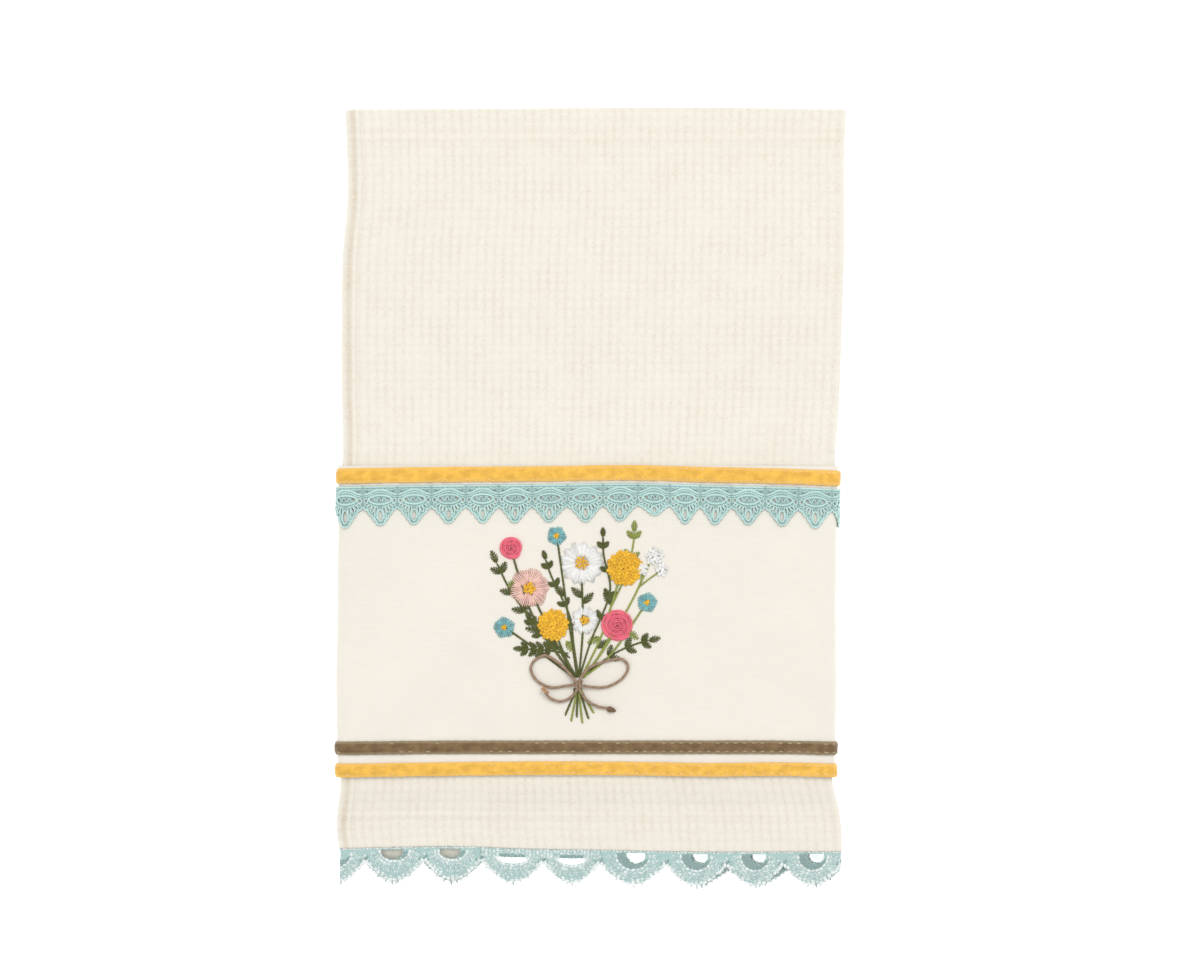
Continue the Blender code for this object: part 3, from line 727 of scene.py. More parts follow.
def copied(name, shape, places):
    """Copies of a bead, each by x, y, layer, turn, half length, half width, half height, tint."""
    points, faces = shape
    places = np.asarray(places, float)
    x, y, layer, turn, long, wide, high, tint = places.T
    here, across, up, out = directions(x, y, layer)
    turn_cos, turn_sin = np.cos(turn)[:, None], np.sin(turn)[:, None]
    axes = np.stack((long[:, None] * (turn_cos * across + turn_sin * up),
                     wide[:, None] * (turn_cos * up - turn_sin * across),
                     high[:, None] * out), 1) * MM
    made = here[:, None] + np.einsum("kc,ncx->nkx", points, axes)
    count = len(points)
    shifted = [[corner + count * n for corner in face] for n in range(len(places))
               for face in faces]
    return new_object(name, made.reshape(-1, 3).tolist(), shifted, np.repeat(tint, count))


def filled(outline, holes, columns, rows):
    """Flat points and faces of a closed outline with openings, cut along columns and rows."""
    curve = bpy.data.curves.new("outline", "CURVE")
    curve.dimensions = "2D"
    curve.fill_mode = "BOTH"
    for loop in (outline, *holes):
        spline = curve.splines.new("POLY")
        spline.points.add(len(loop) - 1)
        for point, (x, y) in zip(spline.points, loop):
            point.co = (x, y, 0, 1)
        spline.use_cyclic_u = True
    guide = bpy.data.objects.new("outline", curve)
    bpy.context.scene.collection.objects.link(guide)
    bpy.context.view_layer.update()
    mesh = bpy.data.meshes.new_from_object(
        guide.evaluated_get(bpy.context.evaluated_depsgraph_get()))
    bpy.data.objects.remove(guide)
    bpy.data.curves.remove(curve)
    bm = bmesh.new()
    bm.from_mesh(mesh)
    bpy.data.meshes.remove(mesh)
    bmesh.ops.remove_doubles(bm, verts=bm.verts, dist=1e-4)
    for normal, cuts in (((1, 0, 0), columns), ((0, 1, 0), rows)):
        for cut in cuts:
            bmesh.ops.bisect_plane(bm, geom=[*bm.verts, *bm.edges, *bm.faces], dist=1e-4,
                                   plane_co=[cut * n for n in normal], plane_no=normal)
    bmesh.ops.recalc_face_normals(bm, faces=bm.faces)
    bm.verts.index_update()
    points = np.array([vertex.co for vertex in bm.verts])[:, :2]
    up = sum(face.normal.z for face in bm.faces) > 0
    faces = [[v.index for v in (face.verts if up else reversed(face.verts))] for face in bm.faces]
    bm.free()
    return points, faces


def joined_flat(parts):
    """One set of flat points and faces from several."""
    points, faces, used = [], [], 0
    for flat, polygons in parts:
        points.append(flat)
        faces += [[corner + used for corner in face] for face in polygons]
        used += len(flat)
    return np.vstack(points), faces


def merged(made):
    select_only(made)
    bpy.ops.object.mode_set(mode="EDIT")
    bpy.ops.mesh.select_all(action="SELECT")
    bpy.ops.mesh.remove_doubles(threshold=1e-6)
    bpy.ops.object.mode_set(mode="OBJECT")
    return made


def across_stations(y_rows, front, bend, short, fold_steps, flap_steps):
    """x of every column at every row, with the share of each column that is front, 0 to 1."""
    left, right = (line[:, None] for line in fold_lines(y_rows))
    turn = pi * bend
    fold = SIDE_RADIUS + FRONT_LAYER
    runs = LEFT_FLAP - fold - short, RIGHT_FLAP - fold - short
    flap = np.arange(flap_steps) / flap_steps
    bent = np.arange(fold_steps) / fold_steps
    front = np.asarray(front)[None]
    return np.hstack((
        left - turn - runs[0] * (1 - flap[None]),
        left - turn * (1 - bent[None]),
        left * (1 - front) + right * front,
        right + turn * (bent[None] + 1 / fold_steps),
        right + turn + runs[1] * (flap[None] + 1 / flap_steps),
    ))


class TOWEL_OT_stage(bpy.types.Operator):
    """Add the floor, the lights and the camera that looks straight down"""

    bl_idname = "towel.stage"
    bl_label = "Stage"

    def execute(self, context):
        deselect()
        bpy.ops.mesh.primitive_plane_add(size=FLOOR_SIZE, location=(0.0, 0.0, FLOOR_LEVEL))
        floor = context.object
        floor.name = "floor"
        finish = Finish("floor_paint", 0.9, specular=0.1)
        grain = finish.noise(finish.place(), 3.0)
        finish.set("Base Color", finish.mix(grain * 0.3, colours().floor,
                                            tinted(colours().floor, 0.985)))
        finish.shader.inputs["Emission Color"].default_value = (1.0, 1.0, 1.0, 1.0)
        finish.shader.inputs["Emission Strength"].default_value = FLOOR_GLOW
        floor.data.materials.append(finish.material)

        for name, place, size, power in LAMPS:
            bpy.ops.object.light_add(type="AREA", location=place)
            light = context.object
            light.name = f"{name}_light"
            light.data.shape = "DISK"
            light.data.size = size
            light.data.energy = power
            light.rotation_euler = (-light.location).to_track_quat("-Z", "Y").to_euler()
        world = bpy.data.worlds.new("studio")
        world.use_nodes = True
        context.scene.world = world
        background = world.node_tree.nodes["Background"]
        background.inputs["Color"].default_value = WORLD_COLOUR
        background.inputs["Strength"].default_value = WORLD_STRENGTH

        height = sizes().camera_height
        bpy.ops.object.camera_add(location=(*VIEW_CENTRE, height + VIEW_LEVEL),
                                  rotation=(0, 0, 0))
        camera = context.object
        camera.name = "camera"
        camera.data.lens = camera.data.sensor_width * height / VIEW_WIDTH
        camera.data.clip_end = CAMERA_REACH
        context.scene.camera = camera
        context.scene.view_settings.view_transform = "Standard"
        return {"FINISHED"}


def cloth_stations(y_rows, front):
    return across_stations(y_rows, front, SIDE_RADIUS, 0.0, FOLD_STEPS, FLAP_STEPS)


def cloth_rows(front, cell):
    """Rows of the mesh from the back hem over the top fold to the front hem.

    Each has its y at every column, its layer and its place along the weave, in cells.
    """
    upper = round((EDGES[0, TOP] - WAFFLE_FOOT) / cell)
    band = round((BAND_TOP - EDGES[0, HEM]) / cell)
    hidden = round((WAFFLE_FOOT - BAND_TOP) / cell)
    upper_rows, band_rows = (np.append((np.arange(cells)[:, None] + CELL_ROWS).ravel(), cells)
                             for cells in (upper, band))
    level = np.array([0.0])
    left, right = (line[0] for line in fold_lines(level))
    shown = cloth_stations(level, front)[0]
    shown = np.where(shown < left, 2 * left - shown, shown)
    shown = np.where(shown > right, 2 * right - shown, shown)
    turn = PITCH / 2
    top = curve_through(EDGES, shown, TOP) - CLOTH / 2 - turn
    hem, back_hem = (curve_through(EDGES, shown, column) for column in (HEM, BACK_HEM))

    rows = [(back_hem + (top - back_hem) * share, BACK_LAYER,
             upper + 2 + (1 - share) * (upper + hidden + band))
            for share in np.linspace(0, 1, BACK_ROWS)[:-1]]
    rows += [(top + turn * cos(angle), turn * sin(angle), upper + 1 - angle / pi * 2)
             for angle in np.linspace(-pi / 2, pi / 2, TURN_ROWS)]
    rows += [(WAFFLE_FOOT + (top - WAFFLE_FOOT) * row / upper, FRONT_LAYER, row)
             for row in upper_rows[::-1][1:]]
    rows += [(np.full_like(top, WAFFLE_FOOT + (BAND_TOP - WAFFLE_FOOT) * row / hidden),
              FRONT_LAYER, -row) for row in np.linspace(0, hidden, HIDDEN_ROWS)[1:-1]]
    rows += [(BAND_TOP + (hem - BAND_TOP) * row / band, FRONT_LAYER, -hidden - row)
             for row in band_rows]
    return rows


def sunk(value, width):
    """1 at whole numbers, falling to 0 at width from them."""
    return 1 - smooth_step(np.abs(value - np.rint(value)) / width)


class TOWEL_OT_cloth(bpy.types.Operator):
    """Add the waffle cloth, from its back hem over the top fold to its front hem"""

    bl_idname = "towel.cloth"
    bl_label = "Waffle cloth"

    def execute(self, context):
        cell, groove = sizes().cell / MM, sizes().groove / MM
        left, right = fold_lines(np.array([150.0]))
        cells = round(float(right[0] - left[0]) / cell)
        front = np.append((np.arange(cells)[:, None] + CELL_COLUMNS).ravel(), cells) / cells
        y, layer, along = (np.array(column) for column in zip(*cloth_rows(front, cell)))
        layer, along = (column[:, None] + np.zeros_like(y) for column in (layer, along))
        x = np.array([cloth_stations(row, front).diagonal() for row in y])
        left, right = fold_lines(y)
        across = (x - left) / (right - left) * cells

        detailed = (layer >= FRONT_LAYER) & ((y > WAFFLE_FOOT - 0.1) | (y < BAND_TOP + 0.1))
        dip = 1 - (1 - sunk(across, LINE_ACROSS)) * (1 - 0.55 * sunk(along, LINE_ALONG))
        puff = 0.22 * (1 - sunk(across, 0.5))
        layer = layer + np.where(detailed, groove * (puff - dip), 0)
        points = on_towel(x, y, layer, SIDE_RADIUS)
        made = sheet_grid("towel_cloth", points, np.stack((across, along), -1))
        thicken(made, CLOTH - groove)
        add_piece(made, waffle_finish(), ["towel_body"])
        return {"FINISHED"}


def hump(value, width):
    """1 at 0, fading to nothing some widths away."""
    return np.exp(-(value / width) ** 2)


class TOWEL_OT_panel(bpy.types.Operator):
    """Add the plain panel that is sewn over the lower half of the front"""

    bl_idname = "towel.panel"
    bl_label = "Plain panel"

    def execute(self, context):
        lines = np.linspace(PANEL_TOP, PANEL_FOOT, PANEL_ROWS)
        x = across_stations(lines, np.linspace(0, 1, PANEL_COLUMNS), SIDE_RADIUS + PANEL_LAYER,
                            PANEL_SHORT, 10, 8)
        y = np.repeat(lines[:, None], x.shape[1], 1)
        near = sum(hump(y - (curve_through(RIBBONS, x, line) + side * 3.4), 4.5)
                   for line in (UPPER, MIDDLE) for side in (-1, 1))
        pucker = near * (0.10 * np.sin(x * 1.15 + np.sin(x / 7)) + 0.06 * np.sin(x * 0.61 + 2))
        middle = (PANEL_TOP + PANEL_FOOT) / 2
        inner = smooth_step((PANEL_TOP - y) / 6) * smooth_step((y - PANEL_FOOT) / 6)
        ripple = inner * (0.10 * np.sin(x / 5.3 + (y - middle) / 37)
                          * np.sin(y / 19 + x / 51) + 0.05 * np.sin(y / 3.9 + x / 29))
        fold = 0.12 * hump(y - (PANEL_TOP - 0.5), 0.7)
        points = on_towel(x, y, PANEL_LAYER + pucker + ripple + fold)
        made = sheet_grid("panel_cloth", points, np.stack((x, y), -1) * MM)
        thicken(made, PANEL_CLOTH)
        add_piece(made, plain_finish(), ["cream_panel"])
        return {"FINISHED"}


class TOWEL_OT_ribbons(bpy.types.Operator):
    """Add the three velvet ribbons and the stitches that hold them"""

    bl_idname = "towel.ribbons"
    bl_label = "Velvet ribbons"

    def execute(self, context):
        pile_colours = {"yellow_velvet": colours().yellow, "brown_velvet": colours().brown}
        velvets = {slot: velvet_finish(slot, pile_colours[slot], edge, crush)
                   for slot, (edge, _, crush, _) in VELVETS.items()}
        threads = {slot: thread_finish(slot.replace("velvet", "thread"), thread, depth, 0.05, 0.8)
                   for slot, (_, thread, _, depth) in VELVETS.items()}
        bead = bead_shape(8, 6)
        chance = np.random.default_rng(7)
        shares = np.array(RIBBON_ROWS)[:, None]
        for name, column, slot, narrowing, spread in RIBBON_KINDS:
            width = sizes().ribbon_width / MM * narrowing
            pitch = sizes().stitch_pitch / MM * spread
            stations = across_stations(np.array([RIBBONS[3, column]]),
                                       np.linspace(0, 1, RIBBON_COLUMNS),
                                       SIDE_RADIUS + TRIM_LAYER, TRIM_SHORT, 14, 30)[0]
            x = np.repeat(stations[None], len(shares), 0)
            middle = curve_through(RIBBONS, x, column)
            edge = 1 + 0.018 * np.sin(x * 2 * pi / pitch) + 0.012 * np.sin(x / 3.1 + column)
            y = middle + shares * edge * width / 2
            pile = np.maximum(0, 1 - np.abs(shares / 0.86) ** 4) ** 0.5
            dip = 0.16 * hump(np.abs(shares) - 0.72, 0.12) * (
                0.5 + 0.5 * np.cos(2 * pi * x / pitch))
            swell = 0.07 * np.sin(x / 4.3 + column) * np.sin(x / 11.0)
            layer = TRIM_LAYER - 0.14 + 0.42 * pile - dip + swell * pile
            made = sheet_grid(f"{name}_velvet", on_towel(x, y, layer),
                              np.stack((x * MM, shares + np.zeros_like(x)), -1))
            thicken(made, RIBBON_CLOTH, -1.0)
            add_piece(made, velvets[slot], [name])
            places = []
            for side in (-1, 1):
                at = np.arange(stations[0] + 1.5, stations[-1] - 1.5, pitch)
                at = at + chance.normal(0, 0.07, len(at))
                y = curve_through(RIBBONS, at, column) + side * (width / 2 - 0.75 - 0.2 * spread)
                for stitch_x, stitch_y, tint in zip(at, y, chance.random(len(at))):
                    shown = smooth_step((stitch_x + 60.0) / 110.0) * 0.8 + (0.2 if side < 0 else 0)
                    if chance.random() > shown + 0.05:
                        continue
                    places.append((stitch_x, stitch_y, TRIM_LAYER + 0.16, chance.normal(0, 0.06),
                                   0.34 + 0.38 * spread, 0.18 + 0.07 * spread, 0.26, tint))
            stitches = copied(f"{name}_stitches", bead, places)
            add_piece(stitches, threads[slot])
        return {"FINISHED"}


def lace_points():
    """Points of the lace across the whole unfolded width."""
    left_end, right_end = unfolded_ends(np.array([0.0]), TRIM_LAYER, TRIM_SHORT)
    before = int((POINTS[0][0] - left_end[0]) / POINT_PITCH - 0.5)
    after = int((right_end[0] - POINTS[-1][0]) / POINT_PITCH - 0.5)
    return ([(POINTS[0][0] - POINT_PITCH * k, POINT_DROP) for k in range(before, 0, -1)]
            + list(POINTS)
            + [(POINTS[-1][0] + POINT_PITCH * k, POINT_DROP) for k in range(1, after + 1)])


def oval(x, depth, wide, deep, turn=0.0, count=12):
    """A closed loop, as rows of x and depth."""
    angle = np.arange(count) * 2 * pi / count
    u, v = wide * np.cos(angle), deep * np.sin(angle)
    return np.stack((x + u * cos(turn) - v * sin(turn), depth + u * sin(turn) + v * cos(turn)), -1)


def mirrored(curve):
    return curve * (-1, 1)


def bumped(line, count, high):
    """A line through few points, redrawn with small outward bumps along it."""
    run = run_along(line)
    at = np.linspace(0, run[-1], count * 5 + 1)
    x, depth = (np.interp(at, run, line[:, i]) for i in (0, 1))
    along = unit(np.stack((np.gradient(x), np.gradient(depth)), -1))
    off = high * (np.abs(np.sin(at / run[-1] * pi * count)) ** 0.7 - 0.6)
    off[[0, -1]] = 0
    return np.stack((x - along[:, 1] * off, depth + along[:, 0] * off), -1)


def arch_depth(x):
    """Depth of the arch over each eye of the lace."""
    return 2.7 - 1.05 * np.cos(pi * x / LACE_HALF)


def lace_motif():
    """One point of the lace, by x and depth: its contour, its openings, its cords and its bars."""
    side = bumped(np.array(POINT_SIDE), 4, 0.42)
    contour = np.vstack((side, mirrored(side)[-2::-1]))
    fan = [(turn * across, depth, wide, deep, turn * lean) for turn in (-1, 1)
           for across, depth, wide, deep, lean in FAN]
    openings = [oval(*loop) for loop in (
        (0.0, 12.4, 0.85, 2.1), (5.9, 6.3, 0.5, 0.7), (-5.9, 6.3, 0.5, 0.7),
        (3.1, 5.75, 0.8, 0.6), (-3.1, 5.75, 0.8, 0.6), (0.0, 5.75, 0.95, 0.6),
        (5.0, 2.6, 0.7, 0.35), (-5.0, 2.6, 0.7, 0.35))]
    openings += [oval(across, depth, wide * 0.5, deep * 0.72, lean, 8)
                 for across, depth, wide, deep, lean in fan]
    line = np.linspace(-LACE_HALF, LACE_HALF, 13)
    arch = np.stack((line, arch_depth(line)), -1)
    zigzag = np.linspace(-3.4, 3.4, 14)
    cords = [  # a curve, its height, its radius, whether it closes
        (np.stack((line, np.full_like(line, 0.5)), -1), 0.30, 0.48, False),
        (arch, 0.30, 0.5, False),
        (arch + (0, 1.0), 0.22, 0.3, False),
        (np.stack((line, 1.5 + 0.2 * np.cos(line * 2.6)), -1), 0.22, 0.26, False),
        (EYE, 0.36, 0.46, True),
        (np.stack((zigzag, EYE_DEPTH + 0.9 * np.sin(zigzag * 2.6)), -1), 0.22, 0.26, False),
        (oval(0.0, 12.4, 1.2, 2.45), 0.36, 0.4, True),
        (contour, 0.3, 0.44, False),
    ]
    cords += [(oval(*loop), 0.3, 0.3, True) for loop in fan]
    cords += [(oval(turn * 5.9, 6.3, 0.85, 1.0, count=10), 0.28, 0.33, True) for turn in (-1, 1)]
    bars = [((x, 0.5), (x, arch_depth(x))) for x in np.linspace(-6.6, 6.6, 9)]
    for x in np.linspace(-3.9, 3.9, 7):
        lid = EYE_DEPTH - EYE_LID * (1 - (x / EYE_HALF) ** 2) ** 0.5
        bars.append(((x, arch_depth(x)), (x * 0.95, lid)))
    return contour, openings, cords, bars


def laid_point(curve, a, b, tip, drop):
    """A curve of the motif, drawn out between the notches a and b down to a tip at depth drop."""
    curve = np.asarray(curve, float)
    depth = curve[:, 1]
    low = np.maximum(depth - LACE_BAND, 0)
    reach = low * (drop - LACE_BAND) / (POINT_DROP - LACE_BAND)
    lean = tip - (a + b) / 2
    x = (a + b) / 2 + curve[:, 0] * (b - a) / POINT_PITCH + lean * low / 7.8
    return np.stack((x, np.minimum(depth, LACE_BAND) + reach), -1)


def under_ribbon(x, depth):
    """y at a depth of the point lace."""
    return curve_through(RIBBONS, x, UPPER) - LACE_DROP - depth


def lace_ground(name, x, y, layer, faces):
    """A pierced ground, laid on the towel from its flat places, face up."""
    ground = new_object(name, on_towel(x, y, layer).tolist(), [face[::-1] for face in faces],
                        weave=np.stack((x, y), -1) * MM)
    return merged(ground)


class TOWEL_OT_point_lace(bpy.types.Operator):
    """Add the pointed lace under the upper ribbon: its ground and its raised cords"""

    bl_idname = "towel.point_lace"
    bl_label = "Point lace"

    def execute(self, context):
        contour, openings, cords, bars = lace_motif()
        outline = np.vstack((((-LACE_HALF, 0), (LACE_HALF, 0)), contour[::-1]))
        points = lace_points()
        notches = [points[0][0] - LACE_HALF]
        notches += [(a[0] + b[0]) / 2 for a, b in zip(points, points[1:])]
        notches.append(points[-1][0] + LACE_HALF)
        chance = np.random.default_rng(11)
        strands = Strands(LACE_LAYER)
        grounds = []
        for a, b, (tip, drop) in zip(notches, notches[1:], points):
            span = a, b, tip, drop
            grounds.append(filled(laid_point(outline, *span),
                                  [laid_point(hole, *span) for hole in openings],
                                  np.linspace(a, b, 12)[1:-1], (3.0, 6.0, 9.0)))
            for curve, height, radius, closed in cords:
                x, depth = laid_point(curve, *span).T
                over = height + 0.08 * np.sin(np.arange(len(x)) * 1.9)
                strands.add(np.stack((x, under_ribbon(x, depth), over), -1), radius, closed,
                            0.35 + 0.35 * chance.random())
            for bar in bars:
                x, depth = laid_point(bar, *span).T
                strands.add(np.stack((x, under_ribbon(x, depth), (0.2, 0.2)), -1), 0.24, False,
                            0.1 + 0.4 * chance.random())
        flat, faces = joined_flat(grounds)
        ground = lace_ground("point_lace_ground", flat[:, 0], under_ribbon(*flat.T), LACE_LAYER,
                             faces)
        thicken(ground, LACE_NET)
        # The ground is painted darker than the cords, as the shade beneath them.
        add_piece(ground, net_finish("teal_ground", tinted(colours().teal, 0.7)),
                  ["point_lace"])
        raised = strands.build("point_lace_cords")
        add_piece(raised, thread_finish("teal_thread", colours().teal))
        return {"FINISHED"}


def scallop_ends():
    """Where the scallops meet, across the unfolded width; the tucked ones on the right lie a
    little aside.
    """
    left_end, right_end = (end[0] for end in unfolded_ends(EDGES[:1, HEM], FRONT_LAYER,
                                                           HEM_LACE_SHORT))
    before = int((SCALLOP_ENDS[0] - left_end) / SCALLOP_PITCH)
    after = int((right_end - SCALLOP_ENDS[-1]) / SCALLOP_PITCH)
    return ([SCALLOP_ENDS[0] - SCALLOP_PITCH * k for k in range(before, 0, -1)]
            + list(SCALLOP_ENDS)
            + [SCALLOP_ENDS[-1] - UNDER_SHIFT + SCALLOP_PITCH * k for k in range(1, after + 1)])


def rim_depth(across):
    """How deep a scallop hangs at a place across it, from -1 to 1: full, with a soft point."""
    return (NOTCH_DEPTH + (RIM_DEPTH - NOTCH_DEPTH)
            * (1 - min(abs(across), 1.0) ** SCALLOP_CURVE))


def hem_y(x, depth):
    """y at a depth of the crochet edging."""
    shown = np.clip(x, EDGES[0, 0], EDGES[-1, 0])
    return curve_through(EDGES, shown, HEM) - HEM_GAP - depth


def drooped(made):
    """Lets the free points of the edging sink."""
    points = np.array([v.co for v in made.data.vertices]) / MM
    hem = curve_through(EDGES, points[:, 0], HEM) - HEM_GAP
    ring = HEADER + HOLE_DEPTH
    free = np.clip((hem - points[:, 1] - ring) / (SCALLOP_DEPTH - ring), 0, 1)
    high = np.clip((points[:, 2] - SIDE_RADIUS) / SIDE_RADIUS, 0, 1)
    points[:, 2] = np.maximum(points[:, 2] - DROOP * free * high, 0.08)
    made.data.vertices.foreach_set("co", (points * MM).ravel())
    made.data.update()


class Scallop:
    """One scallop of the edging, between two of the places where scallops meet.

    Its ring begins top below the hem, round an opening that deep. slant leans its bars, dark
    fills the opening's right end with deep shade, half_filled its left side and foot.
    """

    def __init__(self, number, ends, chance):
        self.a, self.b = ends[number:number + 2]
        self.middle, self.half = (self.a + self.b) / 2, (self.b - self.a) / 2
        self.scale = self.half / RING
        self.chance = chance
        self.beads = []
        shown = ends.index(SCALLOP_ENDS[0]) <= number < ends.index(SCALLOP_ENDS[-1])
        single = SCALLOP_ENDS[3] <= self.a < SCALLOP_ENDS[5]
        self.dark = SCALLOP_ENDS[1] <= self.a < SCALLOP_ENDS[3]
        self.slant = 0.75 if SCALLOP_ENDS[5] - 1 < self.a and shown else 0.0
        self.half_filled = self.slant > 0 or self.a == SCALLOP_ENDS[0]
        self.top = LOW_HOLE_TOP if single else HOLE_TOP
        shorter = 1.0 if single else 2.2 if self.dark or not shown else 0.0
        self.deep = HEADER + HOLE_DEPTH - self.top - shorter

    def ground(self):
        """Flat points and faces of the ground, cut where it has to bend."""
        outline = [(self.b, -0.35), (self.a, -0.35)]
        for k in range(25):
            across = -cos(pi * k / 24)
            outline.append((self.middle + self.half * across, rim_depth(across)))
        reach = HOLE_HALF * self.scale
        hole = [(self.middle - reach, self.top), (self.middle + reach, self.top)]
        for k in range(1, 14):
            angle = pi * k / 14
            hole.append((self.middle + HOLE_HALF * HOLE_BULGE * self.scale * cos(angle),
                         self.top + self.deep * sin(angle) ** HOLE_CURVE))
        if self.dark:
            hole = [(x - max(0.0, x - self.middle) / HOLE_HALF * 2.4, depth) for x, depth in hole]
        if self.half_filled:
            middle = self.middle + (1.3 if self.slant else -2.6)
            hole = [(middle + (x - self.middle) * 0.6, self.top + (depth - self.top) * 0.68)
                    for x, depth in hole]
        return filled(outline, [hole], np.linspace(self.a, self.b, 16)[1:-1],
                      (self.top, self.top + self.deep, 10.5))

    def put(self, x, depth, turn, long, wide, high, shade):
        """One bead, by its place, turn, half sizes and shade, each a little uneven."""
        jitter = self.chance.normal(0, 0.09, 3)
        if shade != DEEP:
            shade = float(np.clip(shade + self.chance.normal(0, 0.3), 0, 1))
        self.beads.append((x + jitter[0], depth + jitter[1], turn + jitter[2] * 3, long, wide,
                           high, shade))

    def row(self, wide, deep, count, size, shade, first=0.0):
        """An arc of beads under the opening's top, from the angle first round to its left end."""
        for k in range(count):
            angle = first + (pi - first) * (k + 0.5) / count
            self.put(self.middle + wide * self.scale * cos(angle),
                     self.top + deep * sin(angle) ** 0.85, pi / 2 - angle, *size, shade)

    def along_rim(self, radius, inset, size, shade, uneven=0.0):
        for k in range(RIM_BEADS):
            angle = 0.06 + (pi - 0.12) * (k + 0.5) / RIM_BEADS
            across = radius * cos(angle) / RING
            self.put(self.middle + self.half * across,
                     rim_depth(across) - inset + uneven * (0.22 * (k % 4) - 0.35),
                     pi / 2 - angle, *size, shade)

    def stitches(self):
        """Its beads: x, depth, turn, half sizes, shade."""
        self.row(6.4, self.deep + 0.75, 11, (1.0, 0.78, 0.52), 0.75)
        self.row(7.65, self.deep + 2.05, 14, (0.9, 0.62, 0.42), 0.4)
        self.along_rim(11.2, 1.5, (0.9, 0.62, 0.45), 0.45)
        for step in range(3):
            inner = 8.5 + step * 0.78
            depth = (inner - 0.95 + (self.deep - HOLE_DEPTH) * (1 - step / 4)
                     + (HEADER - self.top) * step / 4)
            for k in range(BARS):
                angle = 0.04 + (pi - 0.08) * (k + 0.5 * (step % 2) + 0.25) / BARS
                self.put(self.middle + inner * self.scale * cos(angle),
                         self.top + depth * sin(angle) ** 0.82,
                         self.slant - angle * (1 - abs(self.slant) * 0.7), 0.66, 0.36, 0.42,
                         0.2 + 0.45 * (k % 2))
        self.along_rim(11.9, 0.35, (1.0, 0.85, 0.55), 0.85, 1.0 if self.slant else 0.5)
        for across, long, size in RIM_TIPS:
            self.put(self.middle + self.half * across, rim_depth(across) + 0.25 + long * 0.3,
                     pi / 2 * (across - 1), long, size, 0.5, 0.6)
        for level in np.arange(0.0, self.top - 0.1, 0.75):
            for k in range(HEADER_BEADS):
                across = (k + 0.5) / HEADER_BEADS
                self.put(self.a + (self.b - self.a) * across, level, 0.5 * (-1) ** k, 0.8, 0.45,
                         0.45, DEEP if level > 1.7 and 0.28 < across < 0.72 else 0.6)
        if self.half_filled:
            for inset, first in ((0.1, 0.3), (0.8, 0.45), (1.5, 0.8), (2.2, 1.5), (2.9, 2.1)):
                self.row(5.9 - inset, self.deep - inset, 12 - int(inset * 2), (0.9, 0.62, 0.42),
                         DEEP, first)
        if self.dark:
            for across, depth, turn in ((0.88, 1.0, 1.4), (0.72, 1.4, 1.2), (0.8, 2.6, 1.0),
                                        (0.6, 2.9, 0.9), (0.58, 4.2, 0.6), (0.4, 4.4, 0.5)):
                self.put(self.middle + HOLE_HALF * self.scale * across, self.top + depth, turn,
                         0.85, 0.55, 0.42, DEEP)
        for aside, depth, shade in NOTCH_BEADS:
            self.put(self.a + aside, depth, pi / 2, 0.8, 0.6, 0.5, shade)
        return self.beads


class TOWEL_OT_hem_lace(bpy.types.Operator):
    """Add the crochet edging of the hem: its ground and its beaded stitches"""

    bl_idname = "towel.hem_lace"
    bl_label = "Crochet edging"

    def execute(self, context):
        chance = np.random.default_rng(5)
        ends = scallop_ends()
        scallops = [Scallop(number, ends, chance) for number in range(len(ends) - 1)]
        flat, faces = joined_flat([scallop.ground() for scallop in scallops])
        ground = lace_ground("hem_lace_ground", flat[:, 0], hem_y(*flat.T), FRONT_LAYER, faces)
        drooped(ground)
        thicken(ground, HEM_NET)
        # The ground is painted darker than the stitches, as the shade beneath them.
        add_piece(ground, net_finish("crochet_ground", tinted(colours().crochet, 0.72)),
                  ["hem_lace"])

        beads = np.array([bead for scallop in scallops for bead in scallop.stitches()])
        beads = beads[(beads[:, 0] > ends[0] + 0.4) & (beads[:, 0] < ends[-1] - 0.4)]
        places = np.column_stack((beads[:, 0], hem_y(beads[:, 0], beads[:, 1]),
                                  np.full(len(beads), FRONT_LAYER + 0.12), beads[:, 2:]))
        shape = bead_shape(8, 5, taper=0.35)
        # The stitches that lie in shadow are a second set whose thread is painted a shade darker:
        # painted shade.
        for name, chosen, tone in (("hem_lace_stitches", places[:, 7] != DEEP, 1.0),
                                   ("hem_lace_deep_stitches", places[:, 7] == DEEP, 0.8)):
            stitches = copied(name, shape, places[chosen])
            drooped(stitches)
            finish = thread_finish(f"{name}_thread", tinted(colours().crochet, tone), 0.45)
            add_piece(stitches, finish)
        return {"FINISHED"}


def route_through(turns, step):
    """Points about step apart on a smooth curve through turns, in millimetres."""
    turns = np.asarray(turns, float)
    padded = np.vstack([2 * turns[0] - turns[1], turns, 2 * turns[-1] - turns[-2]])
    route = []
    for a, b, c, d in zip(padded, padded[1:], padded[2:], padded[3:]):
        steps = max(1, round(float(np.linalg.norm(c - b)) / step))
        for f in np.arange(steps) / steps:
            route.append(0.5 * (2 * b + (c - a) * f + (2 * a - 5 * b + 4 * c - d) * f * f
                                + (3 * b - a - 3 * c + d) * f ** 3))
    route.append(turns[-1])
    return np.array(route)


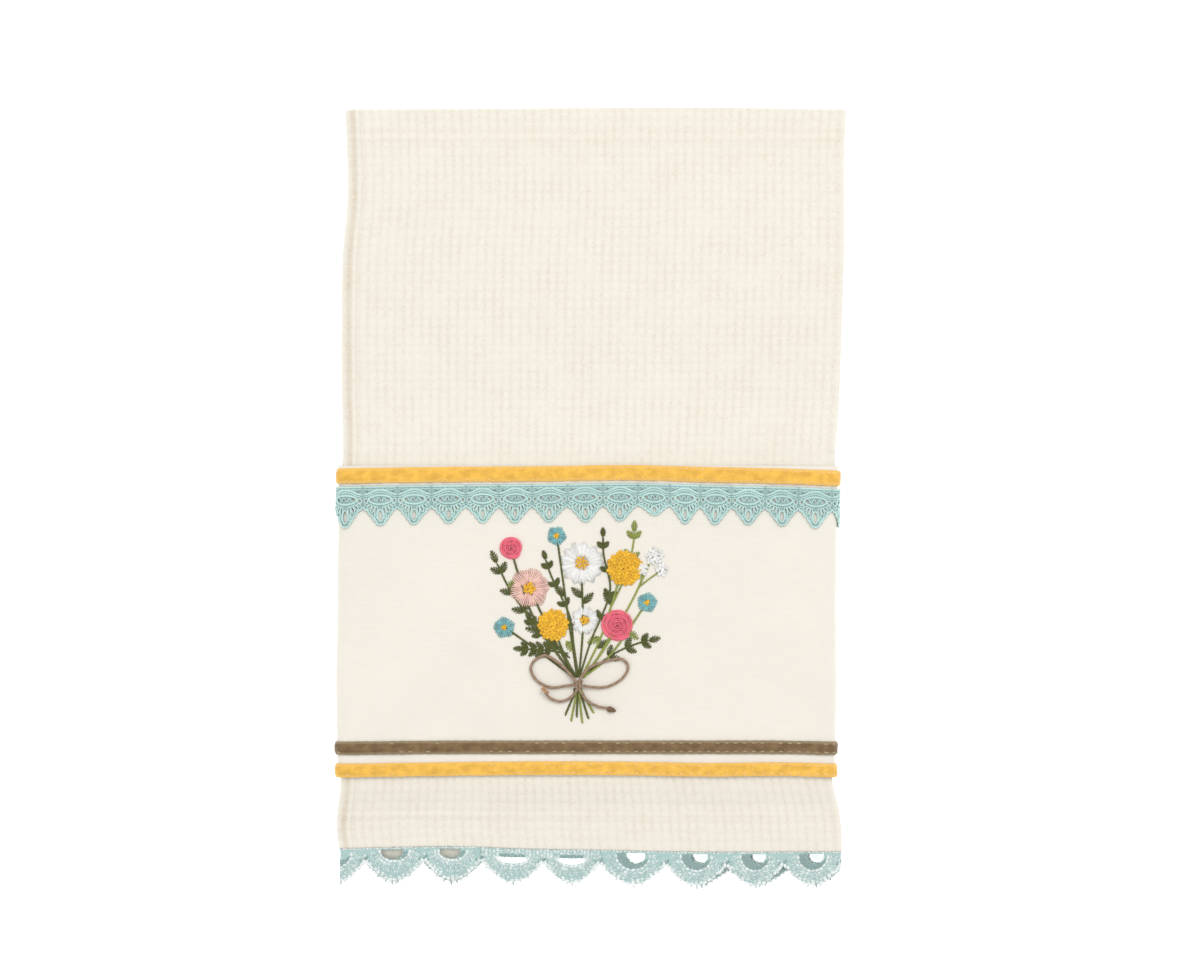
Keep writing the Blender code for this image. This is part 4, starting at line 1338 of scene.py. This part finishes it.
class Stitchery:
    """Embroidery stitches on the panel, one set of threads for each colour."""

    def __init__(self):
        self.layer = TOP_SURFACE - 0.1
        self.threads = {}
        self.knots = {}
        self.chance = np.random.default_rng(3)
        self.radius = sizes().embroidery_thread / MM

    def thread(self, colour, path, radius=None, high=0.3):
        """One stitch: it comes up at its start, lies high and goes down at its end."""
        path = np.asarray(path, float)
        share = np.linspace(0, 1, len(path))
        over = 0.1 + high * np.sin(pi * share) ** 0.6
        strands = self.threads.setdefault(colour, Strands(self.layer))
        strands.add(np.column_stack((path, over)), radius or self.radius,
                    tint=self.chance.random())

    def petal(self, colour, x, y, turn, start, length, width, count, high=0.55):
        """Satin stitches side by side, from near the flower's middle to its rim."""
        for k in np.linspace(-1, 1, count):
            inner = start + 0.12 * length * abs(k)
            outer = start + length * (1 - 0.30 * k * k) + self.chance.normal(0, 0.12)
            share = np.linspace(0, 1, 5)
            reach = inner + (outer - inner) * share
            off = k * width / 2 * (0.35 + 0.65 * np.sin(share * pi * 0.62))
            self.thread(colour, np.column_stack((x + reach * cos(turn) - off * sin(turn),
                                                 y + reach * sin(turn) + off * cos(turn))),
                        high=high * (1 - 0.35 * abs(k)))

    def stem(self, colour, turns, radius=0.42):
        """Stem stitch: short slanted stitches, each beginning beside the one before."""
        route = route_through(turns, 0.5)
        run = run_along(route)
        for start in np.arange(0, run[-1] - 1.0, 1.7):
            at = np.linspace(start, min(start + 3.2, run[-1]), 4)
            x, y = (np.interp(at, run, route[:, i]) for i in (0, 1))
            dx, dy = np.gradient(x), np.gradient(y)
            norm = np.hypot(dx, dy)
            off = np.linspace(-0.24, 0.24, 4)
            self.thread(colour, np.column_stack((x - dy / norm * off, y + dx / norm * off)),
                        radius, 0.25)

    def leaf(self, colour, x, y, turn, length, width, pairs=5):
        """Fishbone leaf: slanted stitches from a middle rib."""
        tip = (x + length * cos(turn), y + length * sin(turn))
        for k in range(pairs):
            f = (k + 0.3) / pairs
            root = (x + (tip[0] - x) * f, y + (tip[1] - y) * f)
            out = width / 2 * sin(pi * min(1.0, f * 0.9 + 0.18)) + 0.25
            ahead = length * 0.26
            for side in (-1, 1):
                end = (root[0] + ahead * cos(turn) - side * out * sin(turn),
                       root[1] + ahead * sin(turn) + side * out * cos(turn))
                middle = ((root[0] + end[0]) / 2, (root[1] + end[1]) / 2)
                self.thread(colour, (root, middle, end), high=0.25)
        self.thread(colour, ((x, y), ((x + tip[0]) / 2, (y + tip[1]) / 2), tip), 0.3, 0.45)

    def knot(self, colour, x, y, size, over):
        self.knots.setdefault(colour, []).append(
            (x, y, self.layer + over, self.chance.random() * pi, size * 1.08, size * 0.92,
             size * 0.8, self.chance.random()))

    def cluster(self, colour, x, y, radius, count, dome, size=0.88):
        """French knots in a round dome."""
        for k in range(count):
            reach = radius * ((k + 0.5) / count) ** 0.5
            angle = k * 2.39996
            self.knot(colour, x + reach * cos(angle), y + reach * sin(angle), size,
                      0.3 + dome * (1 - (reach / radius) ** 2))

    def sprig(self, colour, turns, leaves, length, width):
        """A stem with leaves in pairs and one at its end."""
        self.stem(colour, turns, 0.36)
        route = route_through(turns, 0.5)
        for f in np.linspace(0.42, 0.92, leaves):
            i = min(int(f * (len(route) - 1)), len(route) - 2)
            heading = np.arctan2(*(route[i + 1] - route[i])[::-1])
            for side in (-1, 1):
                self.leaf(colour, *route[i], heading + side * 0.75, length * (1.15 - 0.3 * f),
                          width)
        heading = np.arctan2(*(route[-1] - route[-4])[::-1])
        self.leaf(colour, *route[-1], heading, length, width)

    def daisy(self, petal, heart, x, y, radius, count, width, threads):
        for k in range(count):
            turn = 2 * pi * k / count + self.chance.normal(0, 0.05)
            self.petal(petal, x, y, turn, radius * 0.24, radius * 0.76, width, threads, 0.4)
        self.cluster(heart, x, y, radius * 0.28, max(5, round(radius * 1.6)), 0.5, 0.62)

    def rose(self, colour, x, y, radius):
        """A woven rose: one thick thread wound outwards over its spokes, its inner turns painted
        darker as the shade in its middle.
        """
        turns = round(radius * 0.98, 1)
        angle = np.linspace(0, turns * 2 * pi, int(turns * 25))
        share = angle / angle[-1]
        reach = (0.4 + (radius - 0.7) * share) * (1 + 0.02 * np.sin(angle * 2.5 + 1)
                                                  - 0.07 * smooth_step((share - 0.92) / 0.08))
        over = 0.35 + 0.7 * (1 - share) + 0.3 * np.sin(angle * 2.5)
        path = np.column_stack((x + reach * np.cos(angle), y + reach * np.sin(angle), over))
        strands = self.threads.setdefault(colour, Strands(self.layer))
        for k in range(0, len(path) - 6, 5):
            # Inner turns get a lower tint, painted shade in the rose's middle, with a random
            # share.
            strands.add(path[k:k + 7], 0.55,
                        tint=min(1.0, 0.75 * share[k] + 0.35 * self.chance.random()))


def embroider(work):
    """The bouquet: stems first, then leaves, then flowers over them."""
    kx, ky = KNOT_PLACE
    for colour, aside, turns in (  # from the flower down to the tie
            ("olive", 0.4, ((-3.5, -33.0), (-3.0, -55.0))),
            ("olive", -1.2, ((-25.5, -38.5), (-15.0, -60.0))),
            ("green", 1.4, ((12.5, -34.0), (5.0, -58.0))),
            ("olive", -0.6, ((-15.0, -56.0), (-10.0, -68.0))),
            ("green", 2.0, ((10.0, -56.0), (3.0, -68.0))),
            ("olive", -0.3, ((-13.5, -19.5), (-9.5, -48.0))),
            ("green", 2.2, ((23.5, -45.0), (9.0, -66.0))),
            ("olive", -1.8, ((-35.5, -55.0), (-20.0, -66.0))),
            ("green", 1.8, ((25.5, -27.0), (17.5, -44.0), (6.0, -64.0)))):
        work.stem(colour, (*turns, (kx + aside, ky + 3)))
    for number, (x, y) in enumerate(((-10.5, -92.0), (-8.0, -94.5), (-5.6, -92.8), (-3.2, -95.2),
                                     (-0.6, -93.4), (1.6, -91.0))):
        work.stem(("olive", "green")[number % 2],
                  ((kx - 1.5 + number * 0.6, ky - 1.5), ((kx * 2 + x) / 3, (ky * 2 + y) / 3),
                   (x, y)))
    for colour, leaves, length, width, turns in (
            ("olive", 4, 5.2, 2.6,
             ((kx - 2, ky + 4), (-20.0, -58.0), (-33.0, -40.0), (-39.0, -28.0))),
            ("olive", 3, 4.6, 2.4,
             ((kx + 2, ky + 4), (10.0, -66.0), (19.0, -62.0), (24.5, -60.5))),
            ("green", 3, 4.4, 2.2,
             ((7.6, -49.0), (15.0, -33.0), (18.0, -21.0), (18.5, -15.0))),
            ("olive", 4, 4.2, 2.0, ((-9.0, -66.0), (-18.0, -64.5), (-27.5, -64.0))),
            ("olive", 3, 3.8, 1.9,
             ((-8.5, -68.0), (-14.0, -62.5), (-22.5, -56.5), (-25.0, -52.0))),
            ("olive", 4, 3.6, 1.8,
             ((kx, ky + 4), (-6.9, -62.0), (-8.6, -50.0), (-16.0, -34.0), (-18.5, -26.5))),
            ("olive", 4, 3.6, 1.8,
             ((kx + 0.8, ky + 4), (0.6, -60.0), (5.0, -50.0), (8.5, -38.5), (5.8, -25.0),
              (5.5, -17.0)))):
        work.sprig(colour, turns, leaves, length, width)
    for x, y, turn in ((-10.6, -42.0, 2.3), (-3.1, -45.0, 0.8), (-3.1, -42.5, 2.4),
                       (-12.5, -64.0, 2.7), (2.5, -63.5, 0.5), (9.5, -45.5, 2.2)):
        work.leaf("olive", x, y, turn, 5.6, 2.8, 6)
    for x, y, radius, count in ((27.0, -25.0, 3.6, 22), (21.8, -30.4, 2.4, 11),
                                (30.0, -30.8, 2.6, 12)):
        work.cluster("white", x, y, radius, count, 0.5, 0.85)
    for turns in (((30.0, -31.0), (25.0, -34.5), (20.6, -38.0)),
                  ((21.8, -31.0), (21.6, -34.5), (20.2, -38.6))):
        work.stem("green", turns, 0.3)
    for x, y, radius in ((-14.0, -16.5, 4.2), (-36.0, -55.0, 4.6), (24.0, -44.5, 4.4)):
        for k in range(5):
            work.petal("blue", x, y, 2 * pi * k / 5 + x, 0.5, radius - 0.5, radius * 0.95, 6)
        work.cluster("gold", x, y, 1.0, 5, 0.4, 0.62)
    for k in range(6):
        work.petal("blush", -25.5, -38.5, 2 * pi * k / 6 + 0.2, 1.6, 7.2, 7.6, 10)
    work.cluster("gold", -25.5, -38.5, 2.3, 14, 0.6, 0.72)
    work.cluster("gold", 14.5, -30.0, 7.2, 100, 1.0)
    work.cluster("gold", -15.5, -54.0, 6.4, 80, 0.9)
    work.rose("pink", 11.5, -54.0, 7.0)
    work.rose("pink", -33.0, -21.5, 5.0)
    work.stem("olive", ((-32.4, -25.0), (-24.0, -50.0), (kx - 2.2, ky + 4)))
    for x, y, turn in ((15.5, -56.5, -0.6), (4.2, -59.0, 3.6), (-29.5, -35.5, 3.5),
                       (-10.0, -60.5, -1.0)):
        work.leaf("green", x, y, turn, 5.2, 2.9)
    work.daisy("white", "gold", -3.5, -28.0, 9.4, 13, 4.2, 8)
    work.daisy("white", "gold", -2.2, -52.0, 6.2, 10, 3.3, 6)


class TOWEL_OT_bouquet(bpy.types.Operator):
    """Add the stitched bouquet on the panel"""

    bl_idname = "towel.bouquet"
    bl_label = "Stitched bouquet"

    def execute(self, context):
        work = Stitchery()
        embroider(work)
        shape = bead_shape(8, 6, dimple=0.5)
        for colour in sorted(set(work.threads) | set(work.knots)):
            finish = thread_finish(f"{colour}_embroidery", tuple(getattr(colours(), colour)))
            if colour in work.threads:
                made = work.threads[colour].build(f"{colour}_stitches", 5)
                add_piece(made, finish)
            if colour in work.knots:
                made = copied(f"{colour}_knots", shape, work.knots[colour])
                add_piece(made, finish)
        return {"FINISHED"}


def over_panel(turns):
    """A route's turns with their real height, in millimetres."""
    turns = np.asarray(turns, float)
    z = on_towel(turns[:, 0], turns[:, 1], TOP_SURFACE)[:, 2] / MM
    return np.column_stack((turns[:, :2], z + GAP + TWINE / 2 + turns[:, 2]))


def twisted(name, route, diameter, plies, finish, pitch=3.4):
    """A cord of twisted plies along a route in millimetres."""
    along = unit(np.gradient(route, axis=0))
    side = unit(np.cross(along, (0, 0, 1)))
    up = np.cross(side, along)
    radius = np.full(len(route), diameter * 0.265)
    radius[[0, -1]] *= 0.6
    corners = 7
    count = len(route) * corners
    points, faces, tints = [], [], []
    for ply in range(plies):
        angle = 2 * pi * (run_along(route) / pitch + ply / plies)
        off = diameter * 0.24
        centre = route + off * (np.cos(angle)[:, None] * side + np.sin(angle)[:, None] * up)
        heading = unit(np.gradient(centre, axis=0))
        across = unit(np.cross(heading, up))
        points.append(tube_rings(centre, across, np.cross(across, heading), radius, corners))
        tints.append(np.full(count, (ply + 0.5) / plies))
        faces += tube_faces(len(route), corners, ply * count)
    made = new_object(name, (np.vstack(points) * MM).tolist(), faces, np.concatenate(tints))
    made.data.materials.append(finish)
    return made


class TOWEL_OT_bow(bpy.types.Operator):
    """Add the twine bow with its knots"""

    bl_idname = "towel.bow"
    bl_label = "Twine bow"

    def execute(self, context):
        size, plies = sizes().twine / MM, sizes().twine_plies
        finish = thread_finish("twine_fibre", colours().twine, 0.35, 0.1, 0.85, 2200.0)
        centre, left_end, right_end = over_panel((CENTRE_KNOT, LEFT_END, RIGHT_END))
        cords = {}
        for name, loop, tail in (("twine_left", LEFT_LOOP, RIGHT_TAIL),
                                 ("twine_right", RIGHT_LOOP, LEFT_TAIL)):
            route = route_through(np.vstack((over_panel(loop), over_panel(tail)[1:])), 0.45)
            cords[name] = (twisted(name, route, size, plies, finish), route)

        angle = np.linspace(-0.6 * pi, 4.2 * pi, 60)
        share = np.linspace(-1, 1, 60)
        wrap = np.column_stack((centre[0] + share * 1.5 + 0.2 * np.sin(angle),
                                centre[1] + 1.35 * np.cos(angle) + share * 0.3,
                                centre[2] + 1.0 * np.sin(angle)))
        tie = twisted("bow_knot", wrap, size * 0.9, plies, finish)
        ends = []
        for name, place, colour, lean, long, wide in (
                ("left_end_knot", left_end, (0.55, 0.33, 0.20), -0.7, 2.1, 0.75),
                ("right_end_knot", right_end, (0.23, 0.135, 0.08), -0.3, 2.0, 1.0)):
            turn = np.linspace(0, 2 * pi, 46)
            reach = 0.62 + 0.3 * np.cos(3 * turn)
            x, y = reach * np.cos(2 * turn) * long, reach * np.sin(2 * turn) * wide
            knot = np.column_stack((x * cos(lean) - y * sin(lean), x * sin(lean) + y * cos(lean),
                                    0.36 * np.sin(3 * turn))) + place
            ends.append(twisted(name, knot, 0.95, 2, thread_finish(f"{name}_fibre", colour), 1.8))
        add_piece(cords["twine_left"][0], finish, ["twine_bow"])
        for made in (cords["twine_right"][0], tie, *ends):
            add_piece(made, made.data.materials[0])
        for name, pieces in (("twine_left", [tie, ends[1]]), ("twine_right", [ends[0]])):
            made, route = cords[name]
        return {"FINISHED"}


class TOWEL_PT_pieces(bpy.types.Panel):
    """Buttons for the pieces, and their sizes and colours"""

    bl_label = "Kitchen towel"
    bl_idname = "TOWEL_PT_pieces"
    bl_space_type = "VIEW_3D"
    bl_region_type = "UI"
    bl_category = "Towel"

    def draw(self, context):
        for operator in OPERATORS:
            self.layout.operator(operator.bl_idname)
        for settings in (context.scene.towel_sizes, context.scene.towel_colours):
            box = self.layout.box()
            for name in settings.bl_rna.properties.keys():
                if name not in {"rna_type", "name"}:
                    box.prop(settings, name)


OPERATORS = (TOWEL_OT_stage, TOWEL_OT_cloth, TOWEL_OT_panel, TOWEL_OT_ribbons,
             TOWEL_OT_point_lace, TOWEL_OT_hem_lace, TOWEL_OT_bouquet, TOWEL_OT_bow)
CLASSES = (TowelSizes, TowelColours, *OPERATORS, TOWEL_PT_pieces)


def register():
    for each in CLASSES:
        bpy.utils.register_class(each)
    bpy.types.Scene.towel_sizes = PointerProperty(type=TowelSizes)
    bpy.types.Scene.towel_colours = PointerProperty(type=TowelColours)


def unregister():
    del bpy.types.Scene.towel_sizes
    del bpy.types.Scene.towel_colours
    for each in reversed(CLASSES):
        bpy.utils.unregister_class(each)


def main():
    register()
    for name in ("Cube", "Light", "Camera"):
        if name in bpy.data.objects:
            bpy.data.objects.remove(bpy.data.objects[name])
    bpy.ops.towel.stage()
    bpy.ops.towel.cloth()
    bpy.ops.towel.panel()
    bpy.ops.towel.ribbons()
    bpy.ops.towel.point_lace()
    bpy.ops.towel.hem_lace()
    bpy.ops.towel.bouquet()
    bpy.ops.towel.bow()


if __name__ == "__main__":
    main()
